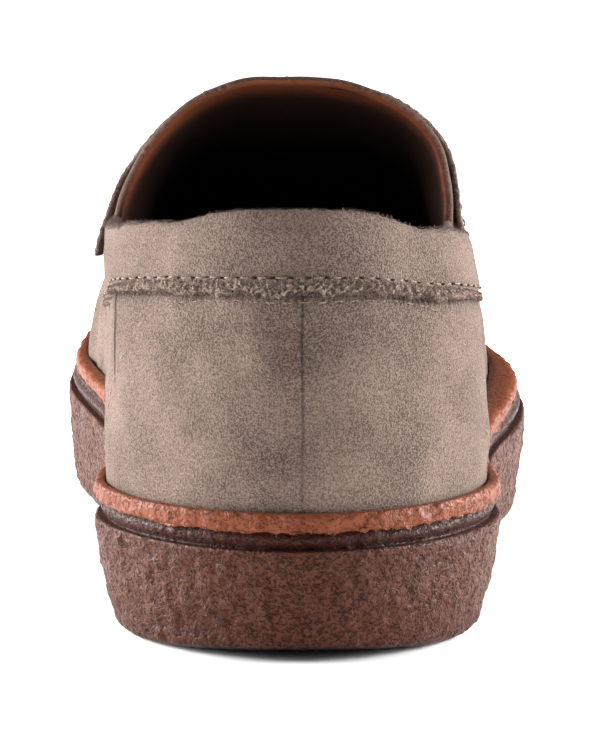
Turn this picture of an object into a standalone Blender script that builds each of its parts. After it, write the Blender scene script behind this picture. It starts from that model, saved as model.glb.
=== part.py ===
"""Tassel loafer, right shoe, in suede on a crepe cup sole.

The toe points along +Y, the lateral side is +X, and the tread lies on z = 0. Every piece is worked out
from the last: a plan outline, a crown line along the top, and a section from outline to crown at each
station. Run it with blender --background --python part.py.
"""

import math

import bmesh
import bpy
import numpy as np

# Last and sole, in metres
SOLE_LENGTH = 0.300
BALL_WIDTH = 0.1092
HEEL_WIDTH = 0.0828
HEEL_RADIUS = 0.037
TOE_RADIUS = 0.033
TOE_SWING = 0.0075
TOE_SPRING = 0.0080
HEEL_BEVEL = 0.0030
HEEL_BEVEL_RUN = 0.017
ARCH_LIFT = 0.0015

# Stations of the sole, shares of its length from heel to toe
SWING_START = 0.50
SPRING_START = 0.70
ARCH = (0.30, 0.60)
FORE = (0.30, 0.62)

# Side of the cup sole, heights above its own tread
WALL_TOP = 0.0236
EDGE_ROUND = 0.0006
GROOVE_DEPTH = 0.0015
GROOVE_TOP = 0.0272
TREAD_ROLL = 0.0018
HEEL_TAPER = 0.0042
TOE_TAPER = 0.0022
TREAD_INSET = 0.0030
SEAT_HEIGHT = 0.0205
FORE_SEAT_HEIGHT = 0.0150

# Foxing band round the foot of the upper
BAND_TOP = 0.0312
BAND_FORE_INSET = 0.0019
BAND_EDGE_ROUND = 0.0008

# Upper
UPPER_WALL = 0.0022
BACK_HEIGHT = 0.0920
INSTEP_HEIGHT = 0.1080
INSTEP_SHIFT = 0.0075
LATERAL_DROP = 0.0014
FEATHER_INSET = 0.0037
FEATHER_FORE_INSET = 0.0052
CROWN_BOW = 0.0078

# Stations of the upper, and the apron's height as a share of the section's at the toe
THROAT = 0.462
HEEL_POLE = 0.100
TOE_POLE = 0.827
INSTEP_SHIFT_END = 0.90
LATERAL_DROP_END = 0.06
APRON_RISE = 0.905

# Raised seams of the upper: sizes in metres, then stations, then shares
SEAM_THICKNESS = 0.0030
SEAM_PROUD = 0.0016
APRON_SEAM_PROUD = 0.0015
QUARTER_FRONT = (0.372, 0.392)
APRON_SEAM_START = (0.590, 0.620)
APRON_SEAM_SHARE = 0.030
SEAM_FOOT_SHARE = 1.3

# Insole
INSOLE_THICKNESS = 0.0045
INSOLE_GAP = 0.0009

# Saddle strap
STRAP_THICKNESS = 0.0016
STRAP_LIFT = 0.0005
STRAP_END_LIFT = 0.0014
STRAP_END_HEIGHT = 0.0650
STRAP_END_SHARE = 0.80

# Stations of the strap's edges, at its ends and over the instep
STRAP_BACK_SIDE = 0.469
STRAP_BACK_TOP = 0.487
STRAP_FRONT_SIDE = 0.575
STRAP_FRONT_TOP = 0.580

# Tassels and their knot
TASSEL_LENGTH = 0.0330
TASSEL_HEAD_SHARE = 0.30
TASSEL_HEAD_WIDTH = 0.0088
TASSEL_SKIRT_WIDTH = 0.0150
TASSEL_THICKNESS = 0.0068
TASSEL_STRIPS = 11
TASSEL_STRIP_DEPTH = 0.16
TASSEL_SPREAD = 0.0075
TASSEL_SPLAY = 0.0065
LACE_WIDTH = 0.0030
LACE_END_GAP = 0.0012
LACE_HEAD_SHARE = 0.30
KNOT_LENGTH = 0.0130
KNOT_WIDTH = 0.0090
KNOT_HEIGHT = 0.0042
KNOT_WAIST_SHARE = 0.10
KNOT_ROUNDNESS = 0.6
KNOT_STATION = 0.558
TASSEL_START = 0.612

# Fits and mesh
CLEARANCE = 0.0003
REAR_COLUMNS = 20
FORE_COLUMNS = 22
STRAP_ROWS = 5
STRAP_COLUMNS = 33
KNOT_RINGS = 9
KNOT_SIDES = 20
LACE_POINTS = 9

LATERAL = 1.0
MEDIAL = -1.0

# Plan outline of the sole. Shares of the half width there, which is the heel's behind HEEL_BLEND[0]
# and the ball's in front of HEEL_BLEND[1]. Columns: station from heel to toe, lateral, medial.
HEEL_BLEND = (0.20, 0.62)
OUTLINE = np.array([
    (0.127, 1.000, 1.000),
    (0.267, 0.955, 0.925),
    (0.417, 0.935, 0.855),
    (0.500, 0.957, 0.850),
    (0.627, 1.005, 0.915),
    (0.710, 1.015, 0.955),
    (0.833, 0.905, 0.885),
    (0.917, 0.725, 0.695),
    (0.967, 0.500, 0.470),
])

# Crown line and section shape. Heights are shares of INSTEP_HEIGHT, and behind the throat the crown
# only guides the walls. Columns: station, crown height, exponent of the rise, exponent of the reach.
CROWN = np.array([
    (0.000, 1.170, 2.80, 2.80),
    (0.200, 1.150, 2.90, 2.95),
    (0.350, 1.070, 4.10, 3.40),
    (0.462, 0.985, 5.60, 2.17),
    (0.550, 0.903, 3.00, 2.05),
    (0.650, 0.805, 2.90, 2.30),
    (0.750, 0.716, 2.50, 2.30),
    (0.850, 0.650, 2.40, 2.30),
    (0.930, 0.610, 2.40, 2.30),
    (1.000, 0.582, 2.40, 2.30),
])

# Swell of the wall beyond the feather line, or lean inside it, in shares of BALL_WIDTH.
# Columns: station, lateral swell, medial swell, height share of the peak.
SWELL = np.array([
    (0.000, 0.0200, 0.0200, 0.20),
    (0.127, 0.0150, 0.0210, 0.20),
    (0.300, -0.0250, 0.0290, 0.45),
    (0.380, -0.0360, 0.0580, 0.57),
    (0.462, -0.0610, 0.0470, 0.57),
    (0.550, -0.0760, -0.0080, 0.57),
    (0.650, -0.0380, -0.0040, 0.36),
    (0.800, 0.0100, 0.0100, 0.30),
    (1.000, 0.0120, 0.0120, 0.30),
])

# Topline heights in shares of BACK_HEIGHT. Columns: station, height.
TOPLINE = np.array([
    (0.000, 1.000),
    (0.015, 0.997),
    (0.040, 0.963),
    (0.067, 0.951),
    (0.120, 0.927),
    (0.220, 0.882),
    (0.330, 0.840),
    (0.400, 0.819),
    (0.462, 0.804),
])

# Middle of the collar's raised seam, in shares of BACK_HEIGHT. Columns: station, height.
SEAM_LINE = np.array([
    (0.000, 0.836),
    (0.040, 0.821),
    (0.067, 0.810),
    (0.117, 0.785),
    (0.220, 0.731),
    (0.330, 0.668),
    (0.462, 0.592),
])

# Levels of the upper's rows: under the collar's seam as shares of the seam's level, and over the apron
BELOW_SEAM = (0.0, 0.14, 0.30, 0.55, 0.80)
OVER_APRON = (1.25, 1.50, 1.75, 2.00)

# Rings of a tassel. Columns: place (0 to 1 down the head, 1 to 2 down the skirt), width in shares of
# the head's, width in shares of the skirt's, thickness.
TASSEL_RINGS = np.array([
    (0.00, 0.60, 0.00, 0.60),
    (0.17, 0.92, 0.00, 0.90),
    (0.60, 1.00, 0.00, 1.00),
    (1.00, 0.90, 0.00, 0.90),
    (1.06, 1.05, 0.00, 0.92),
    (1.29, 0.00, 0.86, 1.00),
    (1.64, 0.00, 0.93, 0.86),
    (1.96, 0.00, 0.99, 0.74),
    (2.00, 0.00, 1.00, 0.72),
])

# Lace's way from the knot to a tassel's head. Columns: station before or past the strap's front edge
# on top, sideways place in shares of TASSEL_SPREAD. It leaves the knot at LACE_START.
LACE_START = 0.10
LACE_ROUTE = np.array([
    (-0.012, 0.55),
    (0.006, 0.85),
])


def smoothstep(x, start, end):
    """0 before start, 1 after end, and an S curve between them."""
    t = np.clip((x - start) / (end - start), 0.0, 1.0)
    return t * t * (3.0 - 2.0 * t)


def through(xs, ys, x):
    """A smooth curve through the points (xs, ys): cubic pieces whose slopes come from the neighbours."""
    xs, ys = np.asarray(xs, float), np.asarray(ys, float)
    slopes = np.gradient(ys, xs)
    i = np.clip(np.searchsorted(xs, x) - 1, 0, len(xs) - 2)
    width = xs[i + 1] - xs[i]
    t = np.clip((x - xs[i]) / width, 0.0, 1.0)
    return (
        (1 + 2 * t) * (1 - t) ** 2 * ys[i]
        + t * (1 - t) ** 2 * width * slopes[i]
        + t * t * (3 - 2 * t) * ys[i + 1]
        + t * t * (t - 1) * width * slopes[i + 1]
    )


def station(u):
    """Share of the length at turn u, where u runs 0 to 1 from heel to toe with close steps at the ends."""
    return (1.0 - np.cos(math.pi * u)) / 2.0


def turn(s):
    """The turn u of a station s."""
    return np.arccos(1.0 - 2.0 * np.asarray(s, float)) / math.pi


def along(s):
    """The y of a station."""
    return (s - 0.5) * SOLE_LENGTH


def centre_line(s):
    """The x of the outline's own middle, which swings to the medial side at the toe."""
    return -TOE_SWING * smoothstep(s, SWING_START, 1.0)


def spring(s):
    """Lift of the sole's tread at the toe."""
    return TOE_SPRING * np.clip((s - SPRING_START) / (1.0 - SPRING_START), 0.0, 1.0) ** 2


def tread_lift(plan, s):
    """Lift of the tread off the floor at the heel's bevel and in the arch between heel and ball."""
    back = (along(0.0) + HEEL_BEVEL_RUN - plan[..., 1]) / HEEL_BEVEL_RUN
    inside = np.clip((s - ARCH[0]) / (ARCH[1] - ARCH[0]), 0.0, 1.0)
    return HEEL_BEVEL * np.clip(back, 0.0, 1.0) ** 2 + ARCH_LIFT * np.sin(math.pi * inside) ** 2


def half_width(u, side):
    """Half width of the outline: an end's roundness times sin(pi u) at heel and toe, the table between."""
    s = OUTLINE[:, 0]
    base = HEEL_WIDTH / 2 + (BALL_WIDTH - HEEL_WIDTH) / 2 * smoothstep(s, *HEEL_BLEND)
    shares = OUTLINE[:, 1] if side > 0 else OUTLINE[:, 2]
    bow = shares * base / np.sin(math.pi * turn(s))
    ends = [math.sqrt(radius * SOLE_LENGTH / 2) for radius in (HEEL_RADIUS, TOE_RADIUS)]
    turns = np.concatenate([[0.0], turn(s), [1.0]])
    bows = np.concatenate([[ends[0]], bow, [ends[1]]])
    return through(turns, bows, u) * np.sin(math.pi * u)


def columns():
    """Turns of the mesh's columns, one of them on the throat."""
    throat = float(turn(THROAT))
    rear = np.linspace(0.0, throat, REAR_COLUMNS + 1)
    fore = np.linspace(throat, 1.0, FORE_COLUMNS + 1)
    return np.concatenate([rear, fore[1:]])


def middle():
    """The x halfway between the outline's widest points, which the shoe is shifted by."""
    u = columns()
    swing = centre_line(station(u))
    return (np.max(swing + half_width(u, LATERAL)) + np.min(swing - half_width(u, MEDIAL))) / 2


MIDDLE = middle()


def outline_point(u, side):
    """Point of the sole's outline in plan."""
    s = station(u)
    x = centre_line(s) - MIDDLE + side * half_width(u, side)
    return np.stack([x, along(s)], axis=-1)


def outline(u, side, inset):
    """Outline moved inwards along its own normal by inset."""
    step = 1e-4
    ahead = np.clip(u + step, 0.0, 1.0)
    behind = np.clip(u - step, 0.0, 1.0)
    run = outline_point(ahead, side) - outline_point(behind, side)
    # At the tips the two halves meet, and the outline runs straight across.
    at_tip = (u < step) | (u > 1.0 - step)
    across = np.stack([np.where(u < 0.5, side, -side), np.zeros_like(u)], axis=-1)
    run = np.where(at_tip[..., None], across, run)
    run = run / np.linalg.norm(run, axis=-1, keepdims=True)
    inwards = side * np.stack([-run[..., 1], run[..., 0]], axis=-1)
    return outline_point(u, side) + inwards * np.asarray(inset)[..., None]


def crown_plan(s):
    """Point of the crown line in plan. Its ends are the poles that the heel's and toe's sections fan from."""
    y = along(HEEL_POLE + (TOE_POLE - HEEL_POLE) * s) + CROWN_BOW * 4.0 * s * (1.0 - s)
    x = -INSTEP_SHIFT * smoothstep(s, 0.0, INSTEP_SHIFT_END) - MIDDLE
    return np.stack([x, y], axis=-1)


def seat(s):
    """Height of the cup's floor, where upper and insole stand."""
    step = FORE_SEAT_HEIGHT - SEAT_HEIGHT
    return SEAT_HEIGHT + step * smoothstep(s, *FORE) + spring(s)


def feather(s):
    """Height of the upper's lower edge."""
    return seat(s) + CLEARANCE


def crown_height(s):
    return INSTEP_HEIGHT * through(CROWN[:, 0], CROWN[:, 1], s)


def exponents(s):
    """Exponents of the rise and of the reach in the section's superellipse."""
    return through(CROWN[:, 0], CROWN[:, 2], s), through(CROWN[:, 0], CROWN[:, 3], s)


def collar_height(line, s, side):
    """Height of one of the collar's lines behind the throat. Both lie lower on the lateral side."""
    drop = LATERAL_DROP * smoothstep(s, 0.0, LATERAL_DROP_END) if side > 0 else 0.0
    return BACK_HEIGHT * through(line[:, 0], line[:, 1], s) - drop


def topline_height(s, side):
    """Height of the collar's edge behind the throat."""
    return collar_height(TOPLINE, s, side)


def rise(s, z):
    """Share of the section's height at the height z."""
    return (z - feather(s)) / (crown_height(s) - feather(s))


def seam_rise(s, side):
    """Rise of the topline behind the throat, and of the apron's seam in front of it."""
    behind = rise(s, topline_height(np.minimum(s, THROAT), side))
    corner = rise(THROAT, topline_height(THROAT, side))
    before = corner + (APRON_RISE - corner) * np.sin(
        math.pi / 2 * np.clip((s - THROAT) / (1.0 - THROAT), 0.0, 1.0)
    )
    return np.where(s <= THROAT, behind, before)


def section(u, side, q, reach):
    """Point of the last's surface: reach is 1 at the feather line and 0 at the crown, q the rise."""
    s = station(u)
    inset = FEATHER_INSET + (FEATHER_FORE_INSET - FEATHER_INSET) * smoothstep(s, *FORE)
    foot = outline(u, side, inset)
    crown = crown_plan(s)
    ray = foot - crown
    length = np.linalg.norm(ray, axis=-1, keepdims=True)
    swell = through(SWELL[:, 0], SWELL[:, 1] if side > 0 else SWELL[:, 2], s) * BALL_WIDTH
    peak = through(SWELL[:, 0], SWELL[:, 3], s)
    below = np.sin(math.pi / 2 * np.clip(q / peak, 0.0, 1.0))
    above = np.cos(math.pi / 2 * np.clip((q - peak) / (1.0 - peak), 0.0, 1.0)) ** 2
    out = swell * np.where(q < peak, below, above)
    plan = crown + ray * (reach + out / length[..., 0])[..., None]
    z = feather(s) + q * (crown_height(s) - feather(s))
    return np.concatenate([plan, z[..., None]], axis=-1)


def at_rise(u, side, q):
    """Surface point at a rise: the section is a superellipse, rise^n + reach^m = 1."""
    n, m = exponents(station(u))
    return section(u, side, q, (1.0 - np.clip(q, 0.0, 1.0) ** n) ** (1.0 / m))


def at_reach(u, side, reach):
    """Surface point at a reach from the crown."""
    n, m = exponents(station(u))
    return section(u, side, (1.0 - np.clip(reach, 0.0, 1.0) ** m) ** (1.0 / n), reach)


def at_level(u, side, level):
    """Surface point at a level: 0 feather line, 1 topline or apron seam, 2 crown."""
    s = station(u)
    n, m = exponents(s)
    top = seam_rise(s, side)
    angle = np.arcsin(top ** (n / 2))
    angle = angle + np.clip(level - 1.0, 0.0, 1.0) * (math.pi / 2 - angle)
    q = np.where(level <= 1.0, level * top, np.sin(angle) ** (2 / n))
    wall = (1.0 - np.clip(q, 0.0, 1.0) ** n) ** (1.0 / m)
    reach = np.where(level <= 1.0, wall, np.clip(np.cos(angle), 0.0, 1.0) ** (2 / m))
    return section(u, side, q, reach)


def beside_upper(u, side, z, clearance):
    """Point level with z, moved away from the upper's outer face by clearance, inwards if it is negative."""
    s = station(u)
    point = at_rise(u, side, rise(s, z))
    ray = point[..., :2] - crown_plan(s)
    ray = ray / np.linalg.norm(ray, axis=-1, keepdims=True)
    point[..., :2] += ray * clearance
    return point


def loop_of(row):
    """A closed loop of points round the shoe from row(u, side): lateral heel to toe, then medial back."""
    u = columns()
    return np.concatenate([row(u, LATERAL), row(u, MEDIAL)[-2:0:-1]])


def with_height(plan, z):
    return np.concatenate([plan, np.broadcast_to(z, plan.shape[:-1])[..., None]], axis=-1)


def bands(first, second, count):
    """Quads between two loops of count points that start at first and second."""
    return [
        (first + i, first + (i + 1) % count, second + (i + 1) % count, second + i)
        for i in range(count)
    ]


def ladder(start, count):
    """Faces that close a loop with straight rungs from its lateral to its medial side."""
    half = count // 2
    faces = [(start, start + 1, start + count - 1)]
    for k in range(1, half - 1):
        faces.append((start + k, start + k + 1, start + count - k - 1, start + count - k))
    faces.append((start + half - 1, start + half, start + half + 1))
    return faces


def material(name, colour, roughness):
    made = bpy.data.materials.new(name)
    made.use_nodes = True
    shader = made.node_tree.nodes["Principled BSDF"]
    shader.inputs["Base Color"].default_value = (*colour, 1.0)
    shader.inputs["Roughness"].default_value = roughness
    shader.inputs["Metallic"].default_value = 0.0
    return made


def add_piece(name, points, faces, finish, collection, sharp_deg=35):
    """A closed mesh object with its faces turned outwards."""
    mesh = bpy.data.meshes.new(name)
    mesh.from_pydata([tuple(p) for p in points], [], faces)
    work = bmesh.new()
    work.from_mesh(mesh)
    bmesh.ops.remove_doubles(work, verts=work.verts, dist=1e-6)
    bmesh.ops.recalc_face_normals(work, faces=work.faces)
    work.to_mesh(mesh)
    work.free()
    mesh.materials.append(finish)
    mesh.shade_smooth()
    mesh.set_sharp_from_angle(angle=math.radians(sharp_deg))
    piece = bpy.data.objects.new(name, mesh)
    collection.objects.link(piece)
    return piece


def outsole(finish, collection):
    """Crepe cup: tread, tapered wall, groove and the well that upper and insole stand in."""

    def taper(s):
        return HEEL_TAPER + (TOE_TAPER - HEEL_TAPER) * smoothstep(s, *FORE)

    def ring(height, tapered, inset, lifted):
        """A loop at a height over the tread, inside the outline by a share of the taper and an inset."""
        def row(u, side):
            s = station(u)
            plan = outline(u, side, taper(s) * tapered + inset)
            return with_height(plan, height + spring(s) + tread_lift(plan, s) * lifted)
        return loop_of(row)

    def well(share):
        """A loop beside the upper, at a share of the well's depth over the seat."""
        def row(u, side):
            s = station(u)
            deep = GROOVE_TOP + spring(s) - seat(s)
            return beside_upper(u, side, seat(s) + deep * share, CLEARANCE)
        return loop_of(row)

    # Columns: height, share of the taper, inset, share of the tread's lift.
    side_rows = (
        (0.0, 1.0, TREAD_INSET, 1.0),
        (TREAD_ROLL / 2, 1.0, 0.0, 1.0),
        (TREAD_ROLL * 2, 0.8, 0.0, 0.8),
        (WALL_TOP / 2, 0.4, 0.0, 0.3),
        (WALL_TOP - EDGE_ROUND, 0.0, 0.0, 0.0),
        (WALL_TOP, 0.0, EDGE_ROUND, 0.0),
        (WALL_TOP, 0.0, GROOVE_DEPTH, 0.0),
        (GROOVE_TOP, 0.0, GROOVE_DEPTH, 0.0),
    )
    loops = [ring(*row) for row in side_rows] + [well(share) for share in (1.0, 0.6, 0.25, 0.0)]
    count = len(loops[0])
    faces = ladder(0, count)
    for i in range(len(loops) - 1):
        faces += bands(i * count, (i + 1) * count, count)
    faces += ladder((len(loops) - 1) * count, count)
    return add_piece("outsole", np.concatenate(loops), faces, finish, collection)


def foxing_band(finish, collection):
    """Rolled crepe strip on the cup's rim, round the foot of the upper."""
    low = GROOVE_TOP + CLEARANCE
    middle = (low + BAND_TOP) / 2

    def beside(height, clearance):
        return loop_of(
            lambda u, side: beside_upper(u, side, height + spring(station(u)), clearance)
        )

    def outer(height, inset):
        def row(u, side):
            s = station(u)
            fore = BAND_FORE_INSET * smoothstep(s, *FORE)
            return with_height(outline(u, side, fore + inset), height + spring(s))
        return loop_of(row)

    loops = [
        beside(low, CLEARANCE),
        beside(BAND_TOP - BAND_EDGE_ROUND, CLEARANCE),
        beside(BAND_TOP, CLEARANCE + BAND_EDGE_ROUND / 2),
        outer(BAND_TOP - BAND_EDGE_ROUND / 2, BAND_EDGE_ROUND / 2),
        outer(middle, 0.0),
        outer(low, BAND_EDGE_ROUND / 2),
    ]
    count = len(loops[0])
    faces = []
    for i in range(len(loops)):
        faces += bands(i * count, (i + 1) % len(loops) * count, count)
    return add_piece("foxing_band", np.concatenate(loops), faces, finish, collection)


def insole(finish, collection):
    """Leather-covered footbed on the cup's floor, inside the upper."""
    edge = -(UPPER_WALL + INSOLE_GAP)

    def loop(lift):
        return loop_of(
            lambda u, side: beside_upper(u, side, seat(station(u)) + CLEARANCE + lift, edge)
        )

    loops = [loop(0.0), loop(INSOLE_THICKNESS)]
    count = len(loops[0])
    faces = ladder(0, count) + bands(0, count, count) + ladder(count, count)
    return add_piece("insole", np.concatenate(loops), faces, finish, collection)


def upper_levels(u, side):
    """Levels and outward steps of the upper's rows at each column, as two arrays of columns by rows."""
    s = station(u)
    collar = np.minimum(s, THROAT)
    tall = topline_height(collar, side) - feather(s)
    seam = (collar_height(SEAM_LINE, collar, side) - feather(s)) / tall
    half = SEAM_THICKNESS / 2 / tall
    lip = np.full_like(s, APRON_SEAM_SHARE)
    rows = [seam * share for share in BELOW_SEAM]
    rows += [seam - half * SEAM_FOOT_SHARE, seam - half, seam + half, seam + half * SEAM_FOOT_SHARE]
    rows += [(1.0 + seam) / 2, 1.0 - lip, 1.0 - lip / 2, 1.0 + lip, 1.0 + lip * 2]
    rows += [np.full_like(s, level) for level in OVER_APRON]
    steps = [np.zeros_like(s)] * len(rows)
    steps[COLLAR_ROW] = SEAM_PROUD * (1.0 - smoothstep(s, *QUARTER_FRONT))
    steps[COLLAR_ROW + 1] = steps[COLLAR_ROW]
    steps[TOP_ROW] = APRON_SEAM_PROUD * smoothstep(s, *APRON_SEAM_START)
    steps[TOP_ROW - 1] = steps[TOP_ROW]
    return np.stack(rows, axis=-1), np.stack(steps, axis=-1)


# Rows where the collar's seam starts to stand out, and where the wall ends behind the throat
COLLAR_ROW = len(BELOW_SEAM) + 1
TOP_ROW = COLLAR_ROW + 6


def upper(finish, collection):
    """One hollow wall from the feather line to topline and crown, with the raised seams as steps in it."""
    u = columns()
    last = len(u) - 1
    points, proud, feet, index = [], [], [], {}
    for side in (LATERAL, MEDIAL):
        levels, steps = upper_levels(u, side)
        # Behind the throat the rows past the topline fall on it and are left out.
        grid = at_level(u[:, None], side, levels)
        top = at_level(u, side, np.ones_like(u))
        grid[: REAR_COLUMNS, TOP_ROW] = top[: REAR_COLUMNS]
        for k in range(last + 1):
            rows = TOP_ROW + 1 if k < REAR_COLUMNS else levels.shape[1]
            for j in range(rows):
                shared = side == MEDIAL and (k in (0, last) or j == levels.shape[1] - 1)
                if shared:
                    index[side, k, j] = index[LATERAL, k, j]
                    continue
                index[side, k, j] = len(points)
                points.append(grid[k, j])
                proud.append(steps[k, j])
                feet.append(j == 0)
    points = np.array(points)
    faces = []
    for side in (LATERAL, MEDIAL):
        for k in range(last):
            rows = TOP_ROW if k < REAR_COLUMNS else levels.shape[1] - 1
            for j in range(rows):
                corner = [(k, j), (k + 1, j), (k + 1, j + 1), (k, j + 1)]
                face = [index[side, a, b] for a, b in corner]
                face = list(dict.fromkeys(face))
                if len(face) > 2:
                    faces.append(face[::-1] if side == MEDIAL else face)
    normals = vertex_normals(points, faces)
    # The foot of the wall is cut level.
    normals[feet, 2] = 0.0
    normals /= np.linalg.norm(normals, axis=1, keepdims=True)
    outer = points + normals * np.array(proud)[:, None]
    inner = points - normals * UPPER_WALL
    return add_piece("upper", *walled(outer, inner, faces), finish, collection)


def vertex_normals(points, faces):
    """Unit normals at the points, each the sum of its faces' area vectors."""
    normals = np.zeros_like(points)
    for face in faces:
        corners = points[face]
        area = np.zeros(3)
        for i in range(1, len(face) - 1):
            area += np.cross(corners[i] - corners[0], corners[i + 1] - corners[0])
        normals[face] += area
    return normals / np.linalg.norm(normals, axis=1, keepdims=True)


def walled(outer, inner, faces):
    """Points and faces of the solid between two like sheets, closed along their free edges."""
    count = len(outer)
    edges = {}
    for face in faces:
        for a, b in zip(face, face[1:] + face[:1]):
            edges[a, b] = True
    rims = [(b, a, a + count, b + count) for a, b in edges if (b, a) not in edges]
    backs = [[i + count for i in reversed(face)] for face in faces]
    return np.concatenate([outer, inner]), faces + backs + rims


def surface_normals(place, a, b):
    """Outward unit normals of the surface place(a, b) by small steps in a and b."""
    step = 1e-4
    da = place(a + step, b) - place(a - step, b)
    db = place(a, b + step) - place(a, b - step)
    normals = np.cross(da, db)
    return normals / np.linalg.norm(normals, axis=-1, keepdims=True)


def over_instep(s_share, across, back, front, end_height):
    """Surface point of a strip over the instep.

    across runs from -1 at the medial end over 0 at the crown to 1 at the lateral end. s_share runs from
    0 at the back edge to 1 at the front edge, whose stations are functions of across.
    """
    s = back(across) + (front(across) - back(across)) * s_share
    u = turn(s)
    low_lat = rise(s, end_height) / seam_rise(s, LATERAL)
    low_med = rise(s, end_height) / seam_rise(s, MEDIAL)
    down = np.abs(across)
    lateral = at_level(u, LATERAL, 2.0 - (2.0 - low_lat) * down)
    medial = at_level(u, MEDIAL, 2.0 - (2.0 - low_med) * down)
    return np.where((across > 0)[..., None], lateral, medial)


def saddle_strap(finish, collection):
    """Strap over the instep, cut between two forms of the upper's own surface."""

    def back(across):
        return STRAP_BACK_TOP + (STRAP_BACK_SIDE - STRAP_BACK_TOP) * np.abs(across) ** 2

    def front(across):
        return STRAP_FRONT_TOP + (STRAP_FRONT_SIDE - STRAP_FRONT_TOP) * np.abs(across) ** 2

    def place(share, across):
        return over_instep(share, across, back, front, STRAP_END_HEIGHT)

    share, across = np.meshgrid(
        np.linspace(0, 1, STRAP_ROWS), np.linspace(-1, 1, STRAP_COLUMNS), indexing="ij"
    )
    sheet = place(share, across)
    normals = surface_normals(place, share, across)
    flat = sheet.reshape(-1, 3)
    up = normals.reshape(-1, 3)
    rows, cols = share.shape
    faces = [
        [i * cols + j, (i + 1) * cols + j, (i + 1) * cols + j + 1, i * cols + j + 1]
        for i in range(rows - 1)
        for j in range(cols - 1)
    ]
    if np.dot(up.mean(axis=0), (0, 0, 1)) < 0:
        up = -up
    ends = smoothstep(np.abs(across), STRAP_END_SHARE, 1.0)
    lift = (STRAP_LIFT + STRAP_END_LIFT * ends).reshape(-1, 1)
    outer = flat + up * (lift + STRAP_THICKNESS)
    inner = flat + up * lift
    return add_piece("saddle_strap", *walled(outer, inner, faces), finish, collection)


def apron_frame(s, offset):
    """Surface point beside the crown, with its forward, sideways and normal unit vectors.

    offset is the sideways distance from the crown line, positive to the lateral side.
    """

    def place(s_at, offset_at):
        u = turn(s_at)
        side = LATERAL if offset_at >= 0 else MEDIAL
        span = np.linalg.norm(at_reach(u, side, 1.0 + 0 * u)[..., :2] - crown_plan(s_at), axis=-1)
        return at_reach(u, side, np.abs(offset_at) / span)

    s = np.asarray(s, float)
    off = np.asarray(offset, float)
    point = place(s, off)
    forward = place(s + 1e-3, off) - point
    forward = forward / np.linalg.norm(forward)
    sideways = place(s, off + 1e-4) - place(s, off - 1e-4)
    sideways = sideways / np.linalg.norm(sideways)
    if sideways[0] < 0:
        sideways = -sideways
    normal = np.cross(sideways, forward)
    return point, forward, sideways, normal / np.linalg.norm(normal)


def tassel_station(share):
    """Station of a point at a share of the tassel's length."""
    run = TASSEL_LENGTH / (SOLE_LENGTH * (TOE_POLE - HEEL_POLE))
    return TASSEL_START + run * share


def tassel_offset(side, share):
    """Sideways distance of the tassel's middle from the crown line."""
    return side * (TASSEL_SPREAD + TASSEL_SPLAY * share)


def tassel(name, side, finish, collection):
    """Tassel lying on the apron: a bound head, and a skirt of strips fused into one fluted solid."""
    around = TASSEL_STRIPS * 3
    place, head, skirt, thick = TASSEL_RINGS.T
    shares = np.interp(place, [0.0, 1.0, 2.0], [0.0, TASSEL_HEAD_SHARE, 1.0])
    widths = (head * TASSEL_HEAD_WIDTH + skirt * TASSEL_SKIRT_WIDTH) / 2
    depths = thick * TASSEL_THICKNESS / 2
    flutes = np.where(place > 1.0, TASSEL_STRIP_DEPTH, 0.0)
    angles = np.arange(around) / around * 2 * math.pi
    points = []
    for share, width, depth, flute in zip(shares, widths, depths, flutes):
        point, _, sideways, normal = apron_frame(
            tassel_station(share), tassel_offset(side, share)
        )
        radius = 1.0 - flute * (1.0 + np.cos(TASSEL_STRIPS * angles)) / 2
        middle = point + normal * (CLEARANCE * 2 + depth)
        points.append(
            middle
            + np.outer(np.cos(angles) * radius * width, sideways)
            + np.outer(np.sin(angles) * radius * depth, normal)
        )
    faces = [list(range(around))]
    for i in range(len(shares) - 1):
        faces += bands(i * around, (i + 1) * around, around)
    faces.append(list(range((len(shares) - 1) * around, len(shares) * around)))
    return add_piece(name, np.concatenate(points), faces, finish, collection, 50)


def as_mesh(piece, collection):
    """The evaluated mesh of a curve object as a mesh object, its caps welded, in the curve's place."""
    graph = bpy.context.evaluated_depsgraph_get()
    mesh = bpy.data.meshes.new_from_object(piece.evaluated_get(graph))
    work = bmesh.new()
    work.from_mesh(mesh)
    bmesh.ops.remove_doubles(work, verts=work.verts, dist=1e-6)
    bmesh.ops.recalc_face_normals(work, faces=work.faces)
    work.to_mesh(mesh)
    work.free()
    made = bpy.data.objects.new(piece.name + "_mesh", mesh)
    made.matrix_world = piece.matrix_world
    collection.objects.link(made)
    bpy.data.objects.remove(piece)
    return made


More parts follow.
